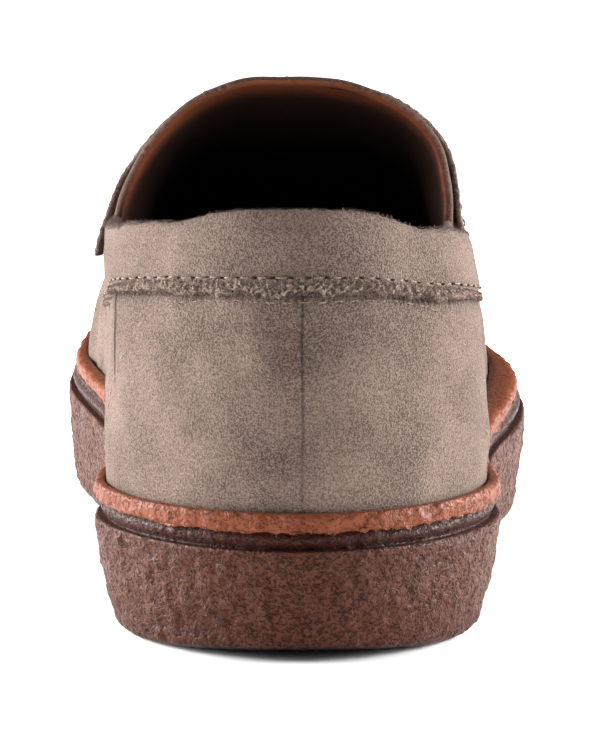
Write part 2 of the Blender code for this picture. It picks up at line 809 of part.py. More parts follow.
def lace_arm(side, collection):
    """Lace from the knot over the strap's front edge to the head of one tassel."""
    over_strap = STRAP_LIFT + STRAP_THICKNESS + CLEARANCE + LACE_WIDTH / 2
    over_apron = CLEARANCE * 2 + TASSEL_THICKNESS * LACE_HEAD_SHARE
    head, forward, _, normal = apron_frame(TASSEL_START, tassel_offset(side, 0.0))
    end = head + normal * max(over_apron, LACE_WIDTH / 2 + CLEARANCE) - forward * LACE_END_GAP
    rows = [(KNOT_STATION, LACE_START)]
    rows += [(STRAP_FRONT_TOP + ahead, share) for ahead, share in LACE_ROUTE]
    spots = []
    for s, share in rows:
        point, _, _, up = apron_frame(s, side * TASSEL_SPREAD * share)
        spots.append(point + up * over_strap)
    spots.append(end)
    data = bpy.data.curves.new("lace_arm", "CURVE")
    data.dimensions = "3D"
    data.bevel_depth = LACE_WIDTH / 2
    data.bevel_resolution = 2
    data.use_fill_caps = True
    spline = data.splines.new("POLY")
    xs = np.arange(len(spots))
    ts = np.linspace(0, len(spots) - 1, LACE_POINTS)
    path = np.stack([through(xs, [p[i] for p in spots], ts) for i in range(3)], axis=-1)
    spline.points.add(LACE_POINTS - 1)
    for place, point in zip(path, spline.points):
        point.co = (*place, 1.0)
    curve = bpy.data.objects.new("lace_arm", data)
    collection.objects.link(curve)
    return as_mesh(curve, collection)


def tassel_knot(finish, collection, helpers):
    """Knot of the lace on the strap, with an arm to each tassel, joined into one solid."""
    point, forward, sideways, normal = apron_frame(KNOT_STATION, 0.0)
    lift = STRAP_LIFT + STRAP_THICKNESS + CLEARANCE * 2 + KNOT_HEIGHT / 2
    tilt = np.linspace(-math.pi / 2, math.pi / 2, KNOT_RINGS)[1:-1]
    turns = np.arange(KNOT_SIDES) / KNOT_SIDES * 2 * math.pi
    middle = point + normal * lift
    points = [middle - sideways * KNOT_LENGTH / 2]
    for t in tilt:
        waist = 1.0 - KNOT_WAIST_SHARE * math.cos(3 * t) ** 2
        full = math.cos(t) ** KNOT_ROUNDNESS * waist
        ring = (
            middle
            + sideways * KNOT_LENGTH / 2 * math.sin(t)
            + np.outer(np.cos(turns) * full * KNOT_WIDTH / 2, forward)
            + np.outer(np.sin(turns) * full * KNOT_HEIGHT / 2, normal)
        )
        points += list(ring)
    points.append(middle + sideways * KNOT_LENGTH / 2)
    faces = [[0, 1 + (i + 1) % KNOT_SIDES, 1 + i] for i in range(KNOT_SIDES)]
    for r in range(len(tilt) - 1):
        faces += bands(1 + r * KNOT_SIDES, 1 + (r + 1) * KNOT_SIDES, KNOT_SIDES)
    tip = len(points) - 1
    base = 1 + (len(tilt) - 1) * KNOT_SIDES
    faces += [[tip, base + i, base + (i + 1) % KNOT_SIDES] for i in range(KNOT_SIDES)]
    knot = add_piece("tassel_knot", np.array(points), faces, finish, collection, 50)
    for side in (LATERAL, MEDIAL):
        arm = lace_arm(side, helpers)
        arm.hide_render = True
        arm.display_type = "WIRE"
        join = knot.modifiers.new("arm", "BOOLEAN")
        join.operation = "UNION"
        join.object = arm
    return knot


def main():
    for old in list(bpy.data.objects):
        bpy.data.objects.remove(old)
    scene = bpy.context.scene
    shoe = bpy.data.collections.new("tassel_loafer")
    helpers = bpy.data.collections.new("joiners")
    scene.collection.children.link(shoe)
    scene.collection.children.link(helpers)

    suede = material("taupe_suede", (0.36, 0.27, 0.22), 0.95)
    crepe = material("crepe_rubber", (0.30, 0.13, 0.08), 0.55)
    foxing = material("crepe_foxing", (0.42, 0.19, 0.10), 0.50)
    lining = material("tan_leather", (0.30, 0.12, 0.05), 0.60)

    outsole(crepe, shoe)
    foxing_band(foxing, shoe)
    insole(lining, shoe)
    upper(suede, shoe)
    saddle_strap(suede, shoe)
    tassel_knot(suede, shoe, helpers)
    tassel("tassel_lateral", LATERAL, suede, shoe)
    tassel("tassel_medial", MEDIAL, suede, shoe)


main()
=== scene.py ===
"""Tassel loafer in taupe suede on a crepe cup sole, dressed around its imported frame."""

import math

import bpy
import numpy as np
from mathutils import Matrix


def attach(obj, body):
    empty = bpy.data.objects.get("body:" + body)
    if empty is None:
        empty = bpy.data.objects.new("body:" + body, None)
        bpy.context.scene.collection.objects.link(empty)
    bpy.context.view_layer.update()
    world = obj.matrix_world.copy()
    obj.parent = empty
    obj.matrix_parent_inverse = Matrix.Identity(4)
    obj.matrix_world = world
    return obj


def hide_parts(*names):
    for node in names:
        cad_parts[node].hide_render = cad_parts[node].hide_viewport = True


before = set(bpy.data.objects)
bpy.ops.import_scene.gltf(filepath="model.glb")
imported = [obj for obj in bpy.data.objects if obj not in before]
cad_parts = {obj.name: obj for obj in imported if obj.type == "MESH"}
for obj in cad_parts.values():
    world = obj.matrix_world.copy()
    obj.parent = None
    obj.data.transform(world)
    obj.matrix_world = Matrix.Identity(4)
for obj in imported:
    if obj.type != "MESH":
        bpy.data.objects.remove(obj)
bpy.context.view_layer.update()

# The last, in metres, as the solids have it
SOLE_LENGTH = 0.300
BALL_WIDTH = 0.1092
HEEL_WIDTH = 0.0828
HEEL_RADIUS = 0.037
TOE_RADIUS = 0.033
TOE_SWING = 0.0075
TOE_SPRING = 0.0080
SPRING_START = 0.70
HEEL_BEVEL = 0.0036
HEEL_BEVEL_RUN = 0.030
WALL_TOP = 0.0236
GROOVE_DEPTH = 0.0015
GROOVE_TOP = 0.0272
TREAD_ROLL = 0.0018
HEEL_TAPER = 0.0042
TOE_TAPER = 0.0022
TREAD_INSET = 0.0030
SEAT_HEIGHT = 0.0205
FORE_SEAT_HEIGHT = 0.0150
BAND_TOP = 0.0312
BAND_FORE_INSET = 0.0019
UPPER_WALL = 0.0022
BACK_HEIGHT = 0.0920
INSTEP_HEIGHT = 0.1080
INSTEP_SHIFT = 0.0075
LATERAL_DROP = 0.0014
LATERAL_DROP_END = 0.06
ARCH_LIFT = 0.0015
ARCH = (0.30, 0.60)
THROAT = 0.462
FEATHER_INSET = 0.0037
FEATHER_FORE_INSET = 0.0052
HEEL_POLE = 0.100
TOE_POLE = 0.827
APRON_RISE = 0.905
CROWN_BOW = 0.0078
CLEARANCE = 0.0003
FORE = (0.30, 0.62)

SEAM_END = 0.400

STRAP_THICKNESS = 0.0016
STRAP_LIFT = 0.0005
STRAP_END_LIFT = 0.0014
STRAP_END_HEIGHT = 0.0650
STRAP_BACK_SIDE = 0.469
STRAP_BACK_TOP = 0.487
STRAP_FRONT_SIDE = 0.575
STRAP_FRONT_TOP = 0.580

TASSEL_LENGTH = 0.0330
TASSEL_HEAD_SHARE = 0.30
TASSEL_HEAD_WIDTH = 0.0088
TASSEL_SKIRT_WIDTH = 0.0150
TASSEL_THICKNESS = 0.0068
TASSEL_SPREAD = 0.0075
TASSEL_SPLAY = 0.0065
TASSEL_START = 0.612
LACE_WIDTH = 0.0030
KNOT_LENGTH = 0.0130
KNOT_WIDTH = 0.0090
KNOT_HEIGHT = 0.0042
KNOT_STATION = 0.558

LATERAL = 1.0
MEDIAL = -1.0

# Plan outline: station, lateral and medial shares of the half width there
HEEL_BLEND = (0.20, 0.62)
OUTLINE = np.array([
    (0.127, 1.000, 1.000),
    (0.267, 0.955, 0.925),
    (0.417, 0.935, 0.855),
    (0.500, 0.957, 0.850),
    (0.627, 1.005, 0.915),
    (0.710, 1.015, 0.955),
    (0.833, 0.905, 0.885),
    (0.917, 0.725, 0.695),
    (0.967, 0.500, 0.470),
])

# Crown line: station, height share, exponents of rise and reach
CROWN = np.array([
    (0.000, 1.170, 2.80, 2.80),
    (0.200, 1.150, 2.90, 2.95),
    (0.350, 1.070, 4.10, 3.40),
    (0.462, 0.985, 5.60, 2.17),
    (0.550, 0.903, 3.00, 2.05),
    (0.650, 0.805, 2.90, 2.30),
    (0.750, 0.716, 2.50, 2.30),
    (0.850, 0.650, 2.40, 2.30),
    (0.930, 0.610, 2.40, 2.30),
    (1.000, 0.582, 2.40, 2.30),
])

# Swell of the wall: station, lateral, medial in shares of BALL_WIDTH, height share of its peak
SWELL = np.array([
    (0.000, 0.0200, 0.0200, 0.20),
    (0.127, 0.0150, 0.0210, 0.20),
    (0.300, -0.0250, 0.0290, 0.45),
    (0.380, -0.0360, 0.0580, 0.57),
    (0.462, -0.0610, 0.0470, 0.57),
    (0.550, -0.0760, -0.0080, 0.57),
    (0.650, -0.0380, -0.0040, 0.36),
    (0.800, 0.0100, 0.0100, 0.30),
    (1.000, 0.0120, 0.0120, 0.30),
])

# Topline: station and height share of BACK_HEIGHT
TOPLINE = np.array([
    (0.000, 1.000),
    (0.015, 0.997),
    (0.040, 0.963),
    (0.067, 0.951),
    (0.120, 0.927),
    (0.220, 0.882),
    (0.330, 0.840),
    (0.400, 0.819),
    (0.462, 0.804),
])

# Middle of the collar's raised seam: station and height share of BACK_HEIGHT
SEAM_LINE = np.array([
    (0.000, 0.836),
    (0.040, 0.821),
    (0.067, 0.810),
    (0.117, 0.785),
    (0.220, 0.731),
    (0.330, 0.668),
    (0.462, 0.592),
])

# Camera behind the heel, and how steeply it looks down
CAMERA_AT = (0.0016, -1.150, 0.212)
CAMERA_TILT_DEG = 8.57
CAMERA_LENS = 249.8

# Studio: a softbox to each side of the shoe, and an even sky
SOFTBOX_REACH = 0.80
SOFTBOX_BACK = 0.12
SOFTBOX_HEIGHT = 0.27
SOFTBOX_SIZE = (0.42, 0.80)
SOFTBOX_POWER = (31.0, 27.0)
SOFTBOX_TURN_DEG = 75.0
WORLD_STRENGTH = 0.12


def smoothstep(x, start, end):
    """0 before start, 1 after end, and an S curve between them."""
    t = np.clip((x - start) / (end - start), 0.0, 1.0)
    return t * t * (3.0 - 2.0 * t)


def bump(x, middle, width):
    """A bell of height 1 at middle that has fallen to a third at one width."""
    return np.exp(-(((x - middle) / width) ** 2))


def through(xs, ys, x):
    """Cubic pieces through (xs, ys) whose slopes come from the neighbouring points."""
    xs, ys = np.asarray(xs, float), np.asarray(ys, float)
    slopes = np.gradient(ys, xs)
    i = np.clip(np.searchsorted(xs, x) - 1, 0, len(xs) - 2)
    width = xs[i + 1] - xs[i]
    t = np.clip((x - xs[i]) / width, 0.0, 1.0)
    return (
        (1 + 2 * t) * (1 - t) ** 2 * ys[i]
        + t * (1 - t) ** 2 * width * slopes[i]
        + t * t * (3 - 2 * t) * ys[i + 1]
        + t * t * (t - 1) * width * slopes[i + 1]
    )


def ripple(points, wavelength, seed, waves=36):
    """A smooth random field: the sum of sines along random directions, all of one wavelength."""
    rng = np.random.default_rng(seed)
    ways = rng.normal(size=(3, waves))
    ways /= np.linalg.norm(ways, axis=0)
    phase = rng.uniform(0, 2 * math.pi, waves)
    pace = 2 * math.pi / wavelength * rng.uniform(0.75, 1.3, waves)
    flat = points.reshape(-1, 3)
    field = np.sin((flat @ ways) * pace + phase).sum(axis=1) / math.sqrt(waves / 2)
    return field.reshape(points.shape[:-1])


def station(u):
    """Share of the length at turn u, which runs 0 to 1 from heel to toe."""
    return (1.0 - np.cos(math.pi * u)) / 2.0


def turn(s):
    """The turn of a station."""
    return np.arccos(1.0 - 2.0 * np.asarray(s, float)) / math.pi


def along(s):
    """The y of a station."""
    return (s - 0.5) * SOLE_LENGTH


def spring(s):
    """Lift of the tread at the toe."""
    return TOE_SPRING * np.clip((s - SPRING_START) / (1.0 - SPRING_START), 0.0, 1.0) ** 2


def outline_bow(shares):
    """Turns and bows whose curve, times sin(pi u), is the half width."""
    s = OUTLINE[:, 0]
    base = HEEL_WIDTH / 2 + (BALL_WIDTH - HEEL_WIDTH) / 2 * smoothstep(s, *HEEL_BLEND)
    ends = [math.sqrt(radius * SOLE_LENGTH / 2) for radius in (HEEL_RADIUS, TOE_RADIUS)]
    bow = shares * base / np.sin(math.pi * turn(s))
    return np.concatenate([[0.0], turn(s), [1.0]]), np.concatenate([[ends[0]], bow, [ends[1]]])


LATERAL_BOW = outline_bow(OUTLINE[:, 1])
MEDIAL_BOW = outline_bow(OUTLINE[:, 2])


def half_width(u, side):
    """Half width of the outline on the given side."""
    at = np.clip(u, 0.0, 1.0)
    bow = np.where(side > 0, through(*LATERAL_BOW, at), through(*MEDIAL_BOW, at))
    return bow * np.sin(math.pi * u)


def swing(s):
    """The x of the outline's own middle before it is centred."""
    return -TOE_SWING * smoothstep(s, 0.5, 1.0)


U_FINE = np.linspace(0.0, 1.0, 400)
MIDDLE = (
    np.max(swing(station(U_FINE)) + half_width(U_FINE, LATERAL))
    + np.min(swing(station(U_FINE)) - half_width(U_FINE, MEDIAL))
) / 2


def outline(u, side, inset):
    """Plan point of the outline, moved inwards along its normal by inset."""

    def plan(v):
        s = station(v)
        return np.stack([swing(s) - MIDDLE + side * half_width(v, side), along(s)], axis=-1)

    step = 1e-4
    run = plan(u + step) - plan(u - step)
    run = run / np.linalg.norm(run, axis=-1, keepdims=True)
    inwards = np.asarray(side)[..., None] * np.stack([-run[..., 1], run[..., 0]], axis=-1)
    return plan(u) + inwards * np.asarray(inset)[..., None]


def crown_plan(s):
    """Plan point of the crown line."""
    y = along(HEEL_POLE + (TOE_POLE - HEEL_POLE) * s) + CROWN_BOW * 4.0 * s * (1.0 - s)
    x = -INSTEP_SHIFT * smoothstep(s, 0.0, 0.90) - MIDDLE
    return np.stack([x, y], axis=-1)


def feather(s):
    """Height of the upper's lower edge."""
    step = FORE_SEAT_HEIGHT - SEAT_HEIGHT
    return SEAT_HEIGHT + step * smoothstep(s, *FORE) + spring(s) + CLEARANCE


def crown_height(s):
    return INSTEP_HEIGHT * through(CROWN[:, 0], CROWN[:, 1], s)


def exponents(s):
    """Exponents of the rise and of the reach in the section's superellipse."""
    return through(CROWN[:, 0], CROWN[:, 2], s), through(CROWN[:, 0], CROWN[:, 3], s)


def collar_height(line, s, side):
    """Height of one of the collar's lines behind the throat. Both lie lower on the lateral side."""
    drop = np.where(side > 0, LATERAL_DROP * smoothstep(s, 0.0, LATERAL_DROP_END), 0.0)
    return BACK_HEIGHT * through(line[:, 0], line[:, 1], s) - drop


def topline_height(s, side):
    """Height of the collar's edge behind the throat."""
    return collar_height(TOPLINE, s, side)


def rise(s, z):
    """Share of the section's height at the height z."""
    return (z - feather(s)) / (crown_height(s) - feather(s))


def seam_rise(s, side):
    """Rise of the topline behind the throat, and of the apron's seam in front of it."""
    behind = rise(s, topline_height(np.minimum(s, THROAT), side))
    corner = rise(THROAT, topline_height(THROAT, side))
    before = corner + (APRON_RISE - corner) * np.sin(
        math.pi / 2 * np.clip((s - THROAT) / (1.0 - THROAT), 0.0, 1.0)
    )
    return np.where(s <= THROAT, behind, before)


def section(u, side, q, reach):
    """Point of the last's surface: reach is 1 at the feather line and 0 at the crown, q the rise."""
    s = station(u)
    inset = FEATHER_INSET + (FEATHER_FORE_INSET - FEATHER_INSET) * smoothstep(s, *FORE)
    foot = outline(u, side, inset)
    crown = crown_plan(s)
    ray = foot - crown
    length = np.linalg.norm(ray, axis=-1)
    lateral = through(SWELL[:, 0], SWELL[:, 1], s)
    medial = through(SWELL[:, 0], SWELL[:, 2], s)
    swell = np.where(side > 0, lateral, medial) * BALL_WIDTH
    peak = through(SWELL[:, 0], SWELL[:, 3], s)
    below = np.sin(math.pi / 2 * np.clip(q / peak, 0.0, 1.0))
    above = np.cos(math.pi / 2 * np.clip((q - peak) / (1.0 - peak), 0.0, 1.0)) ** 2
    out = swell * np.where(q < peak, below, above)
    plan = crown + ray * (reach + out / length)[..., None]
    z = feather(s) + q * (crown_height(s) - feather(s))
    return np.concatenate([plan, z[..., None]], axis=-1)


def at_level(u, side, level):
    """Surface point at a level: 0 feather line, 1 topline or apron seam, 2 crown."""
    u, side, level = np.broadcast_arrays(*(np.asarray(v, float) for v in (u, side, level)))
    s = station(u)
    n, m = exponents(s)
    top = seam_rise(s, side)
    angle = np.arcsin(top ** (n / 2))
    angle = angle + np.clip(level - 1.0, 0.0, 1.0) * (math.pi / 2 - angle)
    q = np.where(level <= 1.0, level * top, np.sin(angle) ** (2 / n))
    wall = (1.0 - np.clip(q, 0.0, 1.0) ** n) ** (1.0 / m)
    reach = np.where(level <= 1.0, wall, np.clip(np.cos(angle), 0.0, 1.0) ** (2 / m))
    return section(u, side, q, reach)


def at_reach(u, side, reach):
    """Surface point at a reach from the crown."""
    n, m = exponents(station(u))
    return section(u, side, (1.0 - np.clip(reach, 0.0, 1.0) ** m) ** (1.0 / n), reach)


def beside_upper(u, side, z, clearance):
    """Point level with z, moved away from the upper's outer face by clearance."""
    s = station(u)
    n, m = exponents(s)
    q = rise(s, z)
    point = section(u, side, q, (1.0 - np.clip(q, 0.0, 1.0) ** n) ** (1.0 / m))
    ray = point[..., :2] - crown_plan(s)
    ray = ray / np.linalg.norm(ray, axis=-1, keepdims=True)
    point[..., :2] += ray * np.asarray(clearance)[..., None]
    return point


def unit(vectors):
    return vectors / np.maximum(np.linalg.norm(vectors, axis=-1, keepdims=True), 1e-12)


def normals_at(u, side, level):
    """Outward unit normals of the last's surface, from small steps in turn and level."""
    u, side, level = np.broadcast_arrays(*(np.asarray(v, float) for v in (u, side, level)))
    step = 1e-4
    du = at_level(u + step, side, level) - at_level(u - step, side, level)
    dl = at_level(u, side, np.minimum(level + step, 2.0)) - at_level(u, side, level - step)
    return unit(np.cross(du, dl)) * side[..., None]


def ring(count):
    """Turns and sides once round the shoe: lateral side from heel to toe, then medial side back."""
    a = np.arange(count) / count * 2.0
    return np.where(a <= 1.0, a, 2.0 - a), np.where(a <= 1.0, LATERAL, MEDIAL)


def path_length(points):
    """Running length along a path of points."""
    steps = np.linalg.norm(np.diff(points, axis=0), axis=1)
    return np.concatenate([[0.0], np.cumsum(steps)])


def quads(rows, cols, wrap_rows=False, wrap_cols=False):
    """Corner indices of the quads between neighbouring points of a grid."""
    i = np.arange(rows if wrap_rows else rows - 1)
    j = np.arange(cols if wrap_cols else cols - 1)
    i, j = np.meshgrid(i, j, indexing="ij")
    i2, j2 = (i + 1) % rows, (j + 1) % cols
    return np.stack([i * cols + j, i * cols + j2, i2 * cols + j2, i2 * cols + j], -1).reshape(-1, 4)


def mesh_piece(name, points, faces, finish, uv=None, outward=None):
    """A smooth mesh at the origin from points and quads, turned outwards, riding on the body."""
    points = points.reshape(-1, 3)
    if outward is not None:
        a, b, c, d = (points[faces[:, k]] for k in range(4))
        facing = np.cross(c - a, d - b)
        if np.sum(facing * outward.reshape(-1, 3)[faces[:, 0]]) < 0:
            faces = faces[:, ::-1]
    mesh = bpy.data.meshes.new(name)
    mesh.vertices.add(len(points))
    mesh.vertices.foreach_set("co", points.astype(np.float32).ravel())
    mesh.loops.add(faces.size)
    mesh.loops.foreach_set("vertex_index", faces.astype(np.int32).ravel())
    mesh.polygons.add(len(faces))
    mesh.polygons.foreach_set("loop_start", (np.arange(len(faces)) * faces.shape[1]).astype(np.int32))
    mesh.update(calc_edges=True)
    if uv is not None:
        layer = mesh.uv_layers.new(name="fit")
        layer.data.foreach_set("uv", uv.reshape(-1, 2)[faces.ravel()].astype(np.float32).ravel())
    mesh.validate()
    mesh.shade_smooth()
    mesh.materials.append(finish)
    piece = bpy.data.objects.new(name, mesh)
    bpy.context.scene.collection.objects.link(piece)
    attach(piece, "root")
    return piece


def close_fans(grid, faces, start, end):
    """Closes a tube's ends: the grid's first and last rows fan to their own middles."""
    rows, cols = grid.shape[:2]
    points = grid.reshape(-1, 3)
    j = np.arange(cols)
    j2 = (j + 1) % cols
    caps = []
    if start:
        points = np.concatenate([points, grid[0].mean(axis=0)[None]])
        caps.append(np.stack([j2, j, np.full(cols, len(points) - 1), np.full(cols, len(points) - 1)], -1))
    if end:
        points = np.concatenate([points, grid[-1].mean(axis=0)[None]])
        base = (rows - 1) * cols
        tip = np.full(cols, len(points) - 1)
        caps.append(np.stack([base + j, base + j2, tip, tip], -1))
    return points, faces, caps


def tube_piece(name, grid, finish, uv=None):
    """A closed tube from rings of points, its ends drawn in to their middles."""
    first = grid[0].mean(axis=0)[None, None]
    last = grid[-1].mean(axis=0)[None, None]
    near = np.concatenate([
        np.repeat(first, grid.shape[1], axis=1) * 0.999 + grid[:1] * 0.001,
        grid,
        np.repeat(last, grid.shape[1], axis=1) * 0.999 + grid[-1:] * 0.001,
    ])
    if uv is not None:
        uv = np.concatenate([uv[:1], uv, uv[-1:]])
    middle = near.mean(axis=1, keepdims=True)
    return mesh_piece(
        name, near, quads(*near.shape[:2], wrap_cols=True), finish, uv, near - middle
    )


class Wire:
    """A socket that arithmetic is written on; each operator adds its Math node."""

    def __init__(self, finish, socket):
        self.finish = finish
        self.socket = socket

    def math(self, operation, *others, swap=False):
        values = (self, *others)
        if swap:
            values = values[::-1]
        node = self.finish.node("Math", {"operation": operation}, dict(enumerate(values)))
        return Wire(self.finish, node.outputs[0])

    def __add__(self, other):
        return self.math("ADD", other)

    def __radd__(self, other):
        return self.math("ADD", other)

    def __sub__(self, other):
        return self.math("SUBTRACT", other)

    def __rsub__(self, other):
        return self.math("SUBTRACT", other, swap=True)

    def __mul__(self, other):
        return self.math("MULTIPLY", other)

    def __rmul__(self, other):
        return self.math("MULTIPLY", other)

    def __truediv__(self, other):
        return self.math("DIVIDE", other)

    def __pow__(self, other):
        return self.math("POWER", other)

    def __abs__(self):
        return self.math("ABSOLUTE")

    def sine(self):
        return self.math("SINE")

    def most(self, other):
        return self.math("MAXIMUM", other)

    def least(self, other):
        return self.math("MINIMUM", other)

    def smooth(self, start, end):
        """0 at start, 1 at end and an S curve between them."""
        node = self.finish.node(
            "MapRange", {"interpolation_type": "SMOOTHSTEP"}, {0: self, 1: start, 2: end, 3: 0.0, 4: 1.0}
        )
        return Wire(self.finish, node.outputs[0])


class Finish:
    """A material: node() makes any node, and the rest is built from it."""

    def __init__(self, name):
        self.material = bpy.data.materials.new(name)
        self.material.use_nodes = True
        self.tree = self.material.node_tree
        self.shader = self.tree.nodes["Principled BSDF"]

    def node(self, kind, settings, values):
        """A node of a kind with its settings made first, and then its sockets' values or links."""
        node = self.tree.nodes.new("ShaderNode" + kind)
        for key, value in settings.items():
            setattr(node, key, value)
        self.feed(node, values)
        return node

    def feed(self, node, values):
        for key, value in values.items():
            socket = node.inputs[key]
            if isinstance(value, Wire):
                self.tree.links.new(value.socket, socket)
            elif isinstance(value, tuple) and len(value) == 3 and socket.type == "RGBA":
                socket.default_value = (*value, 1.0)
            else:
                socket.default_value = value

    def place(self):
        return Wire(self, self.node("TexCoord", {}, {}).outputs["Object"])

    def fit(self):
        """The piece's own map: metres along the seam, and metres across it."""
        split = self.node("SeparateXYZ", {}, {0: Wire(self, self.node("UVMap", {"uv_map": "fit"}, {}).outputs[0])})
        return Wire(self, split.outputs[0]), Wire(self, split.outputs[1])

    def axes(self, place):
        split = self.node("SeparateXYZ", {}, {0: place})
        return [Wire(self, split.outputs[k]) for k in range(3)]

    def noise(self, place, wavelength, detail=2.0, roughness=0.5, distortion=0.0):
        """Noise from 0 to 1 whose features are about one wavelength in metres."""
        values = {"Vector": place, "Scale": 1.0 / wavelength, "Detail": detail}
        values |= {"Roughness": roughness, "Distortion": distortion}
        return Wire(self, self.node("TexNoise", {}, values).outputs[0])

    def warp(self, place, wavelength, reach):
        """The place moved about by up to half of reach each way, by noise of a wavelength."""
        values = {"Vector": place, "Scale": 1.0 / wavelength, "Detail": 2.0}
        colour = Wire(self, self.node("TexNoise", {}, values).outputs["Color"])
        moved = self.node("VectorMath", {"operation": "MULTIPLY_ADD"}, {0: colour, 1: (reach,) * 3, 2: place})
        return Wire(self, moved.outputs[0])

    def cells(self, place, size, feature="F1"):
        """Distance to the nearest of scattered points that are about size apart, in shares of size."""
        node = self.node("TexVoronoi", {"feature": feature}, {"Vector": place, "Scale": 1.0 / size})
        return Wire(self, node.outputs["Distance"])

    def mix(self, share, first, second):
        """First colour where share is 0, second where it is 1."""
        node = self.node("Mix", {"data_type": "RGBA"}, {0: share})
        for socket, value in ((node.inputs[6], first), (node.inputs[7], second)):
            if isinstance(value, Wire):
                self.tree.links.new(value.socket, socket)
            else:
                socket.default_value = (*value, 1.0)
        return Wire(self, node.outputs[2])

    def done(self, colour, roughness, height, depth, **fixed):
        """Feeds the shader: height in 0 to 1 makes relief of the given depth in metres."""
        relief = self.node("Bump", {}, {"Strength": 1.0, "Distance": depth, "Height": height})
        values = {"Base Color": colour, "Roughness": roughness, "Normal": Wire(self, relief.outputs[0])}
        values |= {key.replace("_", " "): value for key, value in fixed.items()}
        self.feed(self.shader, values)
        return self.material


def stripe(x, middle, half):
    """1 within half of middle, falling off softly."""
    return 1.0 - abs(x - middle).smooth(half * 0.6, half * 1.5)


def suede(name, pale, dark, seams):
    """Napped suede: fine speckle in colour and relief, soft patches, and its sewn lines if it has any."""
    f = Finish(name)
    place = f.place()
    fine = f.noise(place, 0.00034, 2.0, 0.6)
    grain = f.noise(place, 0.00060, 3.0, 0.65, 0.8)
    patch = f.noise(place, 0.016, 3.0, 0.5)
    speck = (fine * 0.70 + grain * 0.30).smooth(0.43, 0.57)
    tone = 0.10 + speck * 0.60 + patch.smooth(0.3, 0.7) * 0.30
    height = fine * 0.70 + grain * 0.30
    # The colour speckle follows the relief: partly the nap's own tone, partly painted highlight and shade on its
    # fibres.
    colour = f.mix(tone, dark, pale)
    if seams:
        run, drop = f.fit()
        x, y, z = f.axes(place)
        # The heel's back seam is a fine butted line with a stitch hole to each side of it.
        below = 1.0 - z.smooth(0.0745, 0.0760)
        behind = 1.0 - y.smooth(-0.1400, -0.1380)
        wander = (f.noise(place, 0.02, 1.0) - 0.5) * 0.0006
        back = stripe(x + wander, 0.0021, 0.00022) * below * behind
        pricks = (z * (2 * math.pi / 0.0037)).sine().smooth(0.55, 0.95)
        back_holes = stripe(x + wander, 0.0021, 0.00040) * pricks * below * behind * z.smooth(0.040, 0.060)
        # The quarter's front edge is a plain upright seam on both sides.
        medial = stripe(y - z * 0.35 + wander, -0.1373, 0.00060) * (1.0 - x.smooth(-0.002, 0.0))
        lateral = stripe(y - z * 0.35 + wander, -0.1250, 0.00060) * x.smooth(0.0, 0.002)
        upright = (medial + lateral) * drop.smooth(0.0, 0.0006) * z.smooth(0.0500, 0.0600)
        # Gathers run down from the collar's seam, about 1.3 mm apart, and die away.
        pull = (run * (2 * math.pi / 0.00140) + f.noise(place, 0.005, 2.0) * 14.0).sine() * 0.5 + 0.5
        under = drop.smooth(0.0, 0.0006) * (1.0 - drop.smooth(0.0008, 0.0052))
        patchy = f.noise(place, 0.010, 1.0).smooth(0.40, 0.62)
        gather = pull * under * (0.12 + patchy * 0.88)
        shade = under * (1.0 - drop.smooth(0.0004, 0.0034))
        # Painted shadow under the seam's torn lip and painted shade in the gathers darken the suede below it.
        colour = f.mix((gather * 0.55 + shade * 0.80).least(0.9), colour, tuple(c * 0.30 for c in dark))
        # The butted line is a dark joint and its stitch holes are painted shade inside them; both grow darker higher up
        # the heel.
        back_seam_darkness = 0.25 + z.smooth(0.040, 0.060) * 0.35
        colour = f.mix(back.most(back_holes) * back_seam_darkness, colour, tuple(c * 0.30 for c in dark))
        colour = f.mix(upright * 0.7, colour, tuple(c * 0.30 for c in dark))
        height = height - gather * 0.5 - back * 0.5 - back_holes * 0.4 - upright * 0.8
    rough = 0.86 + speck * 0.12
    return f.done(
        colour, rough, height, 0.00140, Sheen_Weight=0.14, Sheen_Roughness=0.45,
        Sheen_Tint=(0.95, 0.88, 0.82, 1.0), Specular_IOR_Level=0.12
    )


def crepe(name, pale, mid, deep, relief):
    """Natural crepe rubber: a crinkled skin of small flat pebbles with short cracks between them, painted dark as
    shade.
    """
    f = Finish(name)
    place = f.place()
    bent = f.warp(f.warp(place, 0.0045, 0.0040), 0.0014, 0.0012)
    edge = f.cells(bent, 0.0014, "DISTANCE_TO_EDGE")
    grain = f.noise(place, 0.00085, 3.0, 0.6, 0.6)
    fine = f.noise(place, 0.00045, 2.0, 0.5)
    swell = f.noise(place, 0.0065, 2.0, 0.5)
    cloud = f.noise(place, 0.020, 3.0, 0.55)
    broken = grain.smooth(0.40, 0.56)
    crack = (1.0 - edge.smooth(0.0, 0.16)) * (1.0 - broken)
    pit = 1.0 - grain.smooth(0.34, 0.50)
    dark = (crack * 0.7 + pit * 0.6).least(1.0)
    colour = f.mix(cloud.smooth(0.3, 0.7) * 0.7 + fine.smooth(0.35, 0.65) * 0.3, mid, pale)
    # Cracks and pits are painted darker: painted shade in the crepe's crevices, which are also cut into the relief.
    colour = f.mix(dark * 0.66, colour, deep)
    height = swell * 0.45 + grain * 0.45 + fine * 0.10 - dark * 0.45
    rough = 0.34 + dark * 0.30 + fine * 0.14
    return f.done(
        colour, rough, height, relief, Specular_IOR_Level=0.14
    )


